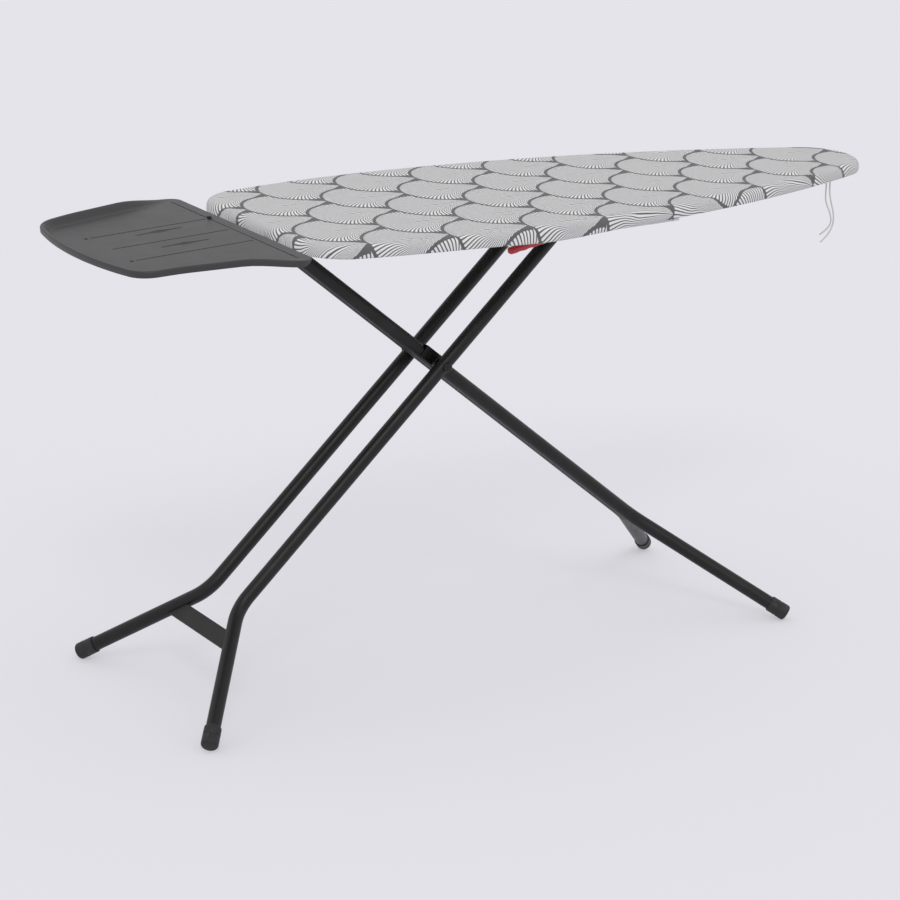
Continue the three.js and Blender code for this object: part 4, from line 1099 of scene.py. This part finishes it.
# ---------------------------------------------------------------- frame and fasteners
def dress(node, material, edge=0.0004):
    """Gives a carried-over CAD node its finish and slightly rounded edges."""
    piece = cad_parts[node]
    piece.data.materials.clear()
    piece.data.materials.append(material)
    if edge:
        soften(piece, edge)
    return piece


def rivet_profile(head, height, shank, length):
    """Domed head below the origin, shank above it."""
    profile = [(0.01, -height)]
    for i in range(1, 8):
        a = math.pi / 2 * i / 8
        profile.append((head * math.sin(a), -height * math.cos(a)))
    return profile + [(head, 0), (shank, 0), (shank, length), (0.01, length)]


def make_frame_steel():
    steel = frame_steel()
    for node in ("edge_frame", "heel_strap", "middle_strap", "front_strap", "heel_pivot_bracket",
                 "guide_rail_near", "guide_rail_far", "lever_bracket"):
        dress(node, steel, 0.0003)
    paint = leg_paint()
    for node in ("rest_bar_near", "rest_bar_far"):
        dress(node, paint, 0.0004)


def make_fasteners():
    zinc = zinc_plate()
    up = Vector((0, 0, 1))
    for name in sorted(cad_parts):
        if "rivet" not in name:
            continue
        low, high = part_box(name)
        height = 1.8
        start = Vector(((low.x + high.x) / 2, (low.y + high.y) / 2, low.z + height / 1000))
        length = (high.z - start.z) * 1000
        profile = rivet_profile(5, height, 2.4, length)
        add_turned(name, profile, start, up, zinc, "board", False, 32)
    tilt = Matrix.Rotation(-REST_TILT, 3, "Y") @ up
    for name in sorted(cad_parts):
        if not name.startswith("rest_screw"):
            continue
        low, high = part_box(name)
        start = Vector(((low.x + high.x) / 2, (low.y + high.y) / 2, low.z + 0.0022))
        profile = rivet_profile(4.2, 2, 1.9, 5.1)
        add_turned(name, profile, start, tilt, zinc, "board", False, 32)
    across = Vector((0, 1, 0))
    low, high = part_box("heel_pivot_pin")
    middle = place(HEEL_PIVOT[0], 0, PIVOT_Z)
    pin = [(0.01, 0), (5.6, 0), (6.8, 0.8), (7, 1.6), (7, 3), (4, 3), (4, (high.y - low.y) * 1000 - 0.6),
           (3.4, (high.y - low.y) * 1000), (0.01, (high.y - low.y) * 1000)]
    start = Vector((middle.x, low.y, middle.z))
    add_turned("heel_pivot_pin", pin, start, across, zinc, "board")
    ring_turned("heel_pivot_retainer", middle, 7, 4.3, zinc, "board", 0.5)


def ring_turned(node, middle, outer, inner, material, body, ease):
    """A ring along y that fills the node's own width, with eased edges."""
    low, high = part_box(node)
    width = (high.y - low.y) * 1000
    profile = [(inner, 0), (outer - ease, 0), (outer, ease), (outer, width - ease), (outer - ease, width),
               (inner, width)]
    start = Vector((middle.x, low.y, middle.z))
    add_turned(node, profile, start, Vector((0, 1, 0)), material, body, True)


def make_pivots():
    zinc = zinc_plate()
    plastic = bush_plastic()
    paint = leg_paint()
    across = Vector((0, 1, 0))
    middle = place(CROSS[0], 0, CROSS[1])
    low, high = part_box("crossing_pin")
    length = (high.y - low.y) * 1000
    bolt = [(0.01, 0), (5, 0.2), (7.2, 1.1), (8.3, 2.4), (8.5, 4), (5, 4), (5, length - 1), (4.2, length),
            (0.01, length)]
    start = Vector((middle.x, low.y, middle.z))
    add_turned("crossing_pin", bolt, start, across, paint, "inner_leg")
    ring_turned("crossing_nut", middle, 8.5, 5.3, paint, "inner_leg", 1.0)
    for side in ("near", "far"):
        ring_turned(f"crossing_spacer_{side}", middle, 9, 5.3, paint, "inner_leg", 0.5)
        ring_turned(f"slide_bush_{side}", place(SLIDE_BAR[0], 0, PIVOT_Z), 7, 5.3, plastic, "outer_leg",
                    0.6)
    low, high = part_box("slide_bar")
    length = (high.y - low.y) * 1000
    bar = [(0.01, 0), (4.2, 0), (5, 0.8), (5, length - 0.8), (4.2, length), (0.01, length)]
    start = Vector((place(SLIDE_BAR[0], 0, 0).x, low.y, place(0, 0, PIVOT_Z).z))
    add_turned("slide_bar", bar, start, across, zinc, "outer_leg")


# ---------------------------------------------------------------- release lever
def along_lever(reach, rise, y=GRIP_Y):
    c = math.cos(GRIP_SLOPE)
    s = math.sin(GRIP_SLOPE)
    return place(SHAFT[0] - reach * c - rise * s, y, SHAFT[1] - reach * s + rise * c)


def make_grip():
    """Moulded grip: a soft rounded bar with shallow finger waves underneath."""
    start = GRIP_REACH - GRIP_LENGTH
    stations = 46
    sides = 36
    rings = []
    for i in range(stations + 1):
        s = i / stations
        reach = start + GRIP_LENGTH * (0.5 - 0.5 * math.cos(math.pi * s))
        end = min(reach - start, GRIP_REACH - reach)
        size = math.sqrt(max(1 - (1 - min(end / 4.5, 1)) ** 2, 0.0016))
        wave = 0.55 * math.sin((reach - start) / 19 * 2 * math.pi) * smoothstep(end, 4, 14)
        ring = []
        for k in range(sides):
            a = 2 * math.pi * k / sides
            c = math.copysign(abs(math.cos(a)) ** 0.72, math.cos(a))
            d = math.copysign(abs(math.sin(a)) ** 0.72, math.sin(a))
            rise = 6 * d * size
            if d < 0:
                rise += abs(d) * (0.55 + wave) * size
            ring.append(along_lever(reach, rise, GRIP_Y + 6.4 * c * size))
        rings.append(ring)
    verts, faces = loft(rings)
    grip = add_piece("grip_moulded", verts, faces, grip_plastic(), "release_lever", 50)
    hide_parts("lever_grip")


def make_lever():
    zinc = zinc_plate()
    make_grip()
    for node in ("lever_arm", "locking_comb"):
        dress(node, zinc, 0.0003)
    low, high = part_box("lever_shaft")
    length = (high.y - low.y) * 1000
    shaft = [(0.01, 0), (3.4, 0), (4, 0.6), (4, length - 0.6), (3.4, length), (0.01, length)]
    start = Vector((place(SHAFT[0], 0, 0).x, low.y, place(0, 0, SHAFT[1]).z))
    add_turned("lever_shaft", shaft, start, Vector((0, 1, 0)), zinc, "release_lever")
    make_spring(zinc)


def make_spring(zinc):
    """Torsion spring wound round the lever's shaft."""
    low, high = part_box("return_spring")
    turns = 7
    steps = turns * 20
    radius = 5.6
    points = []
    for i in range(steps + 1):
        a = 2 * math.pi * i / 20
        y = low.y + 0.001 + (high.y - low.y - 0.002) * i / steps
        centre = place(SHAFT[0], 0, SHAFT[1])
        x = centre.x + radius / 1000 * math.cos(a)
        z = centre.z + radius / 1000 * math.sin(a)
        points.append(Vector((x, y, z)))
    verts, faces = sweep(points, [0.0007] * len(points), 10)
    spring = add_piece("return_spring_wound", verts, faces, zinc, "board", 60)
    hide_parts("return_spring")


# ---------------------------------------------------------------- drawcord
CORD_TOP_Z = COVER_BOTTOM_Z - 0.8
CORD_TAILS = {
    "drawcord_tail_1": [
        (500.6, -84, CORD_TOP_Z), (501, -84, 748), (502.6, -84, 726), (514.6, -84.5, 701), (516.6, -85, 685),
        (507.6, -85, 674), (493, -85, 666),
    ],
    "drawcord_tail_2": [
        (507.3, -86, CORD_TOP_Z), (508, -86, 745), (512.3, -85.5, 727), (521.3, -85, 702), (521.8, -85, 681),
        (511.5, -85, 664), (496.3, -85, 652),
    ],
}


def make_cords():
    """The drawcord's two free ends, cut square."""
    cotton = drawcord_cotton()
    diameter = sizes().cord_diameter
    for node, route in CORD_TAILS.items():
        points = catmull([place(*p) for p in route], 4)
        radii = [diameter / 2] * len(points)
        verts, faces = sweep(points, radii, 16)
        tail = add_piece(f"{node}_braided", verts, faces, cotton, "board", 60)
        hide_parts(node)


# ---------------------------------------------------------------- stage
CAMERA_AZIMUTH = math.radians(-34.1495)
CAMERA_ELEVATION = math.radians(18.0152)
CAMERA_ROLL = math.radians(2.1399)
CAMERA_DISTANCE = 5.0252467
CAMERA_LENS = 118.16
CAMERA_TARGET = (-224.0357, 0, 346.5291)
FLOOR_GLOW = 0.5             # share of the floor's brightness that no shadow takes away
KEY_FROM = (-0.59, -1.04, 1.2)
KEY_STRENGTH = 0.45
KEY_SPREAD = math.radians(16)
SKY_LEVEL = (0.72, 1.0)      # brightness at the horizon and overhead


def make_camera():
    a = CAMERA_AZIMUTH
    e = CAMERA_ELEVATION
    back = Vector((math.sin(a) * math.cos(e), -math.cos(a) * math.cos(e), math.sin(e)))
    right = Vector((math.cos(a), math.sin(a), 0))
    up = back.cross(right)
    turned_right = right * math.cos(CAMERA_ROLL) + up * math.sin(CAMERA_ROLL)
    turned_up = up * math.cos(CAMERA_ROLL) - right * math.sin(CAMERA_ROLL)
    data = bpy.data.cameras.new("camera")
    data.lens = CAMERA_LENS
    data.sensor_width = 36
    camera = bpy.data.objects.new("camera", data)
    basis = Matrix((turned_right, turned_up, back)).transposed().to_4x4()
    camera.matrix_world = Matrix.Translation(place(*CAMERA_TARGET) + back * CAMERA_DISTANCE) @ basis
    bpy.context.scene.collection.objects.link(camera)
    bpy.context.scene.camera = camera


def floor_material():
    g = Graph("floor")
    where = g.position()
    cloud = g.noise(where, 0.8, 3)
    colour = g.mix(cloud, shade(colours().floor, 0.995), shade(colours().floor, 1.005))
    dull = g.mix(FLOOR_GLOW, colour, (0, 0, 0))
    material = g.finish(dull, g.span(cloud, 0.85, 0.95), g.bump(g.noise(where, 40, 2), 0.0002, 0.05))
    g.shader.inputs["Specular IOR Level"].default_value = 0.0
    g.link(colour, g.shader.inputs["Emission Color"])
    g.shader.inputs["Emission Strength"].default_value = FLOOR_GLOW
    return material


def make_floor():
    reach = 30
    mesh = bpy.data.meshes.new("floor")
    corners = [(-reach, -reach, 0), (reach, -reach, 0), (reach, reach, 0), (-reach, reach, 0)]
    mesh.from_pydata(corners, [], [(0, 1, 2, 3)])
    mesh.materials.append(floor_material())
    floor = bpy.data.objects.new("floor", mesh)
    bpy.context.scene.collection.objects.link(floor)


def make_lights():
    """A broad soft key from the front, in a pale room that is a little brighter overhead."""
    data = bpy.data.lights.new("key", "SUN")
    data.energy = KEY_STRENGTH
    data.angle = KEY_SPREAD
    light = bpy.data.objects.new("key", data)
    light.rotation_mode = "QUATERNION"
    light.rotation_quaternion = Vector(KEY_FROM).to_track_quat("Z", "Y")
    bpy.context.scene.collection.objects.link(light)
    world = bpy.data.worlds.new("studio")
    world.use_nodes = True
    background = world.node_tree.nodes["Background"]
    nodes = world.node_tree.nodes
    links = world.node_tree.links
    split = nodes.new("ShaderNodeSeparateXYZ")
    links.new(nodes.new("ShaderNodeTexCoord").outputs["Generated"], split.inputs[0])
    height = nodes.new("ShaderNodeMapRange")
    height.inputs["To Min"].default_value = SKY_LEVEL[0]
    height.inputs["To Max"].default_value = SKY_LEVEL[1]
    links.new(split.outputs["Z"], height.inputs["Value"])
    background.inputs["Color"].default_value = (0.99, 0.985, 1.0, 1)
    links.new(height.outputs["Result"], background.inputs["Strength"])
    bpy.context.scene.world = world
    bpy.context.scene.view_settings.view_transform = "Standard"


# ---------------------------------------------------------------- operators
class BoardOperator:
    """What all the operators share: they run their maker and report that they are done."""

    bl_options = {"REGISTER", "UNDO"}

    def execute(self, context):
        self.make()
        return {"FINISHED"}


class IRONING_OT_stage(BoardOperator, bpy.types.Operator):
    """Camera, pale floor and soft studio light"""

    bl_idname = "ironing.stage"
    bl_label = "Stage"

    def make(self):
        make_camera()
        make_floor()
        make_lights()


class IRONING_OT_cords(BoardOperator, bpy.types.Operator):
    """The two free ends of the cover's drawcord"""

    bl_idname = "ironing.cords"
    bl_label = "Drawcord"

    def make(self):
        make_cords()


class IRONING_OT_pad(BoardOperator, bpy.types.Operator):
    """Felt pad under the cover"""

    bl_idname = "ironing.pad"
    bl_label = "Felt pad"

    def make(self):
        make_pad()


class IRONING_OT_cover(BoardOperator, bpy.types.Operator):
    """Printed cotton cover with its gathered hem"""

    bl_idname = "ironing.cover"
    bl_label = "Cover"

    def make(self):
        make_cover()


class IRONING_OT_mesh_top(BoardOperator, bpy.types.Operator):
    """Expanded steel top under the pad"""

    bl_idname = "ironing.mesh_top"
    bl_label = "Mesh top"

    def make(self):
        make_mesh_top()


class IRONING_OT_frame(BoardOperator, bpy.types.Operator):
    """Steel frame, straps, rails, brackets and the bars of the iron rest"""

    bl_idname = "ironing.frame"
    bl_label = "Frame"

    def make(self):
        make_frame_steel()


class IRONING_OT_fasteners(BoardOperator, bpy.types.Operator):
    """Rivets, screws and the heel pivot's pin"""

    bl_idname = "ironing.fasteners"
    bl_label = "Fasteners"

    def make(self):
        make_fasteners()


class IRONING_OT_iron_rest(BoardOperator, bpy.types.Operator):
    """Moulded iron rest at the heel"""

    bl_idname = "ironing.iron_rest"
    bl_label = "Iron rest"

    def make(self):
        make_iron_rest()


class IRONING_OT_legs(BoardOperator, bpy.types.Operator):
    """Bent leg tubes with their foot caps and fittings"""

    bl_idname = "ironing.legs"
    bl_label = "Legs"

    def make(self):
        make_legs()


class IRONING_OT_pivots(BoardOperator, bpy.types.Operator):
    """Crossing bolt, spacers, slide bar and bushes"""

    bl_idname = "ironing.pivots"
    bl_label = "Pivots"

    def make(self):
        make_pivots()


class IRONING_OT_lever(BoardOperator, bpy.types.Operator):
    """Release lever with its red grip, comb and spring"""

    bl_idname = "ironing.lever"
    bl_label = "Release lever"

    def make(self):
        make_lever()


OPERATORS = (
    IRONING_OT_stage, IRONING_OT_cords, IRONING_OT_pad, IRONING_OT_cover, IRONING_OT_mesh_top,
    IRONING_OT_frame,
    IRONING_OT_fasteners, IRONING_OT_iron_rest, IRONING_OT_legs, IRONING_OT_pivots, IRONING_OT_lever,
)


class IRONING_PT_panel(bpy.types.Panel):
    """Lists the makers of the ironing board's pieces"""

    bl_label = "Ironing Board"
    bl_idname = "IRONING_PT_panel"
    bl_space_type = "VIEW_3D"
    bl_region_type = "UI"
    bl_category = "Ironing Board"

    def draw(self, context):
        column = self.layout.column()
        for operator in OPERATORS:
            column.operator(operator.bl_idname)
        for settings in (sizes(), colours()):
            for name in settings.__annotations__:
                column.prop(settings, name)


CLASSES = (BoardSizes, BoardColours, *OPERATORS, IRONING_PT_panel)


def register():
    for made in CLASSES:
        bpy.utils.register_class(made)
    bpy.types.Scene.ironing_board_sizes = bpy.props.PointerProperty(type=BoardSizes)
    bpy.types.Scene.ironing_board_colours = bpy.props.PointerProperty(type=BoardColours)


def unregister():
    del bpy.types.Scene.ironing_board_colours
    del bpy.types.Scene.ironing_board_sizes
    for made in reversed(CLASSES):
        bpy.utils.unregister_class(made)


def main():
    register()
    for operator in OPERATORS:
        group, name = operator.bl_idname.split(".")
        getattr(getattr(bpy.ops, group), name)()


if __name__ == "__main__":
    main()
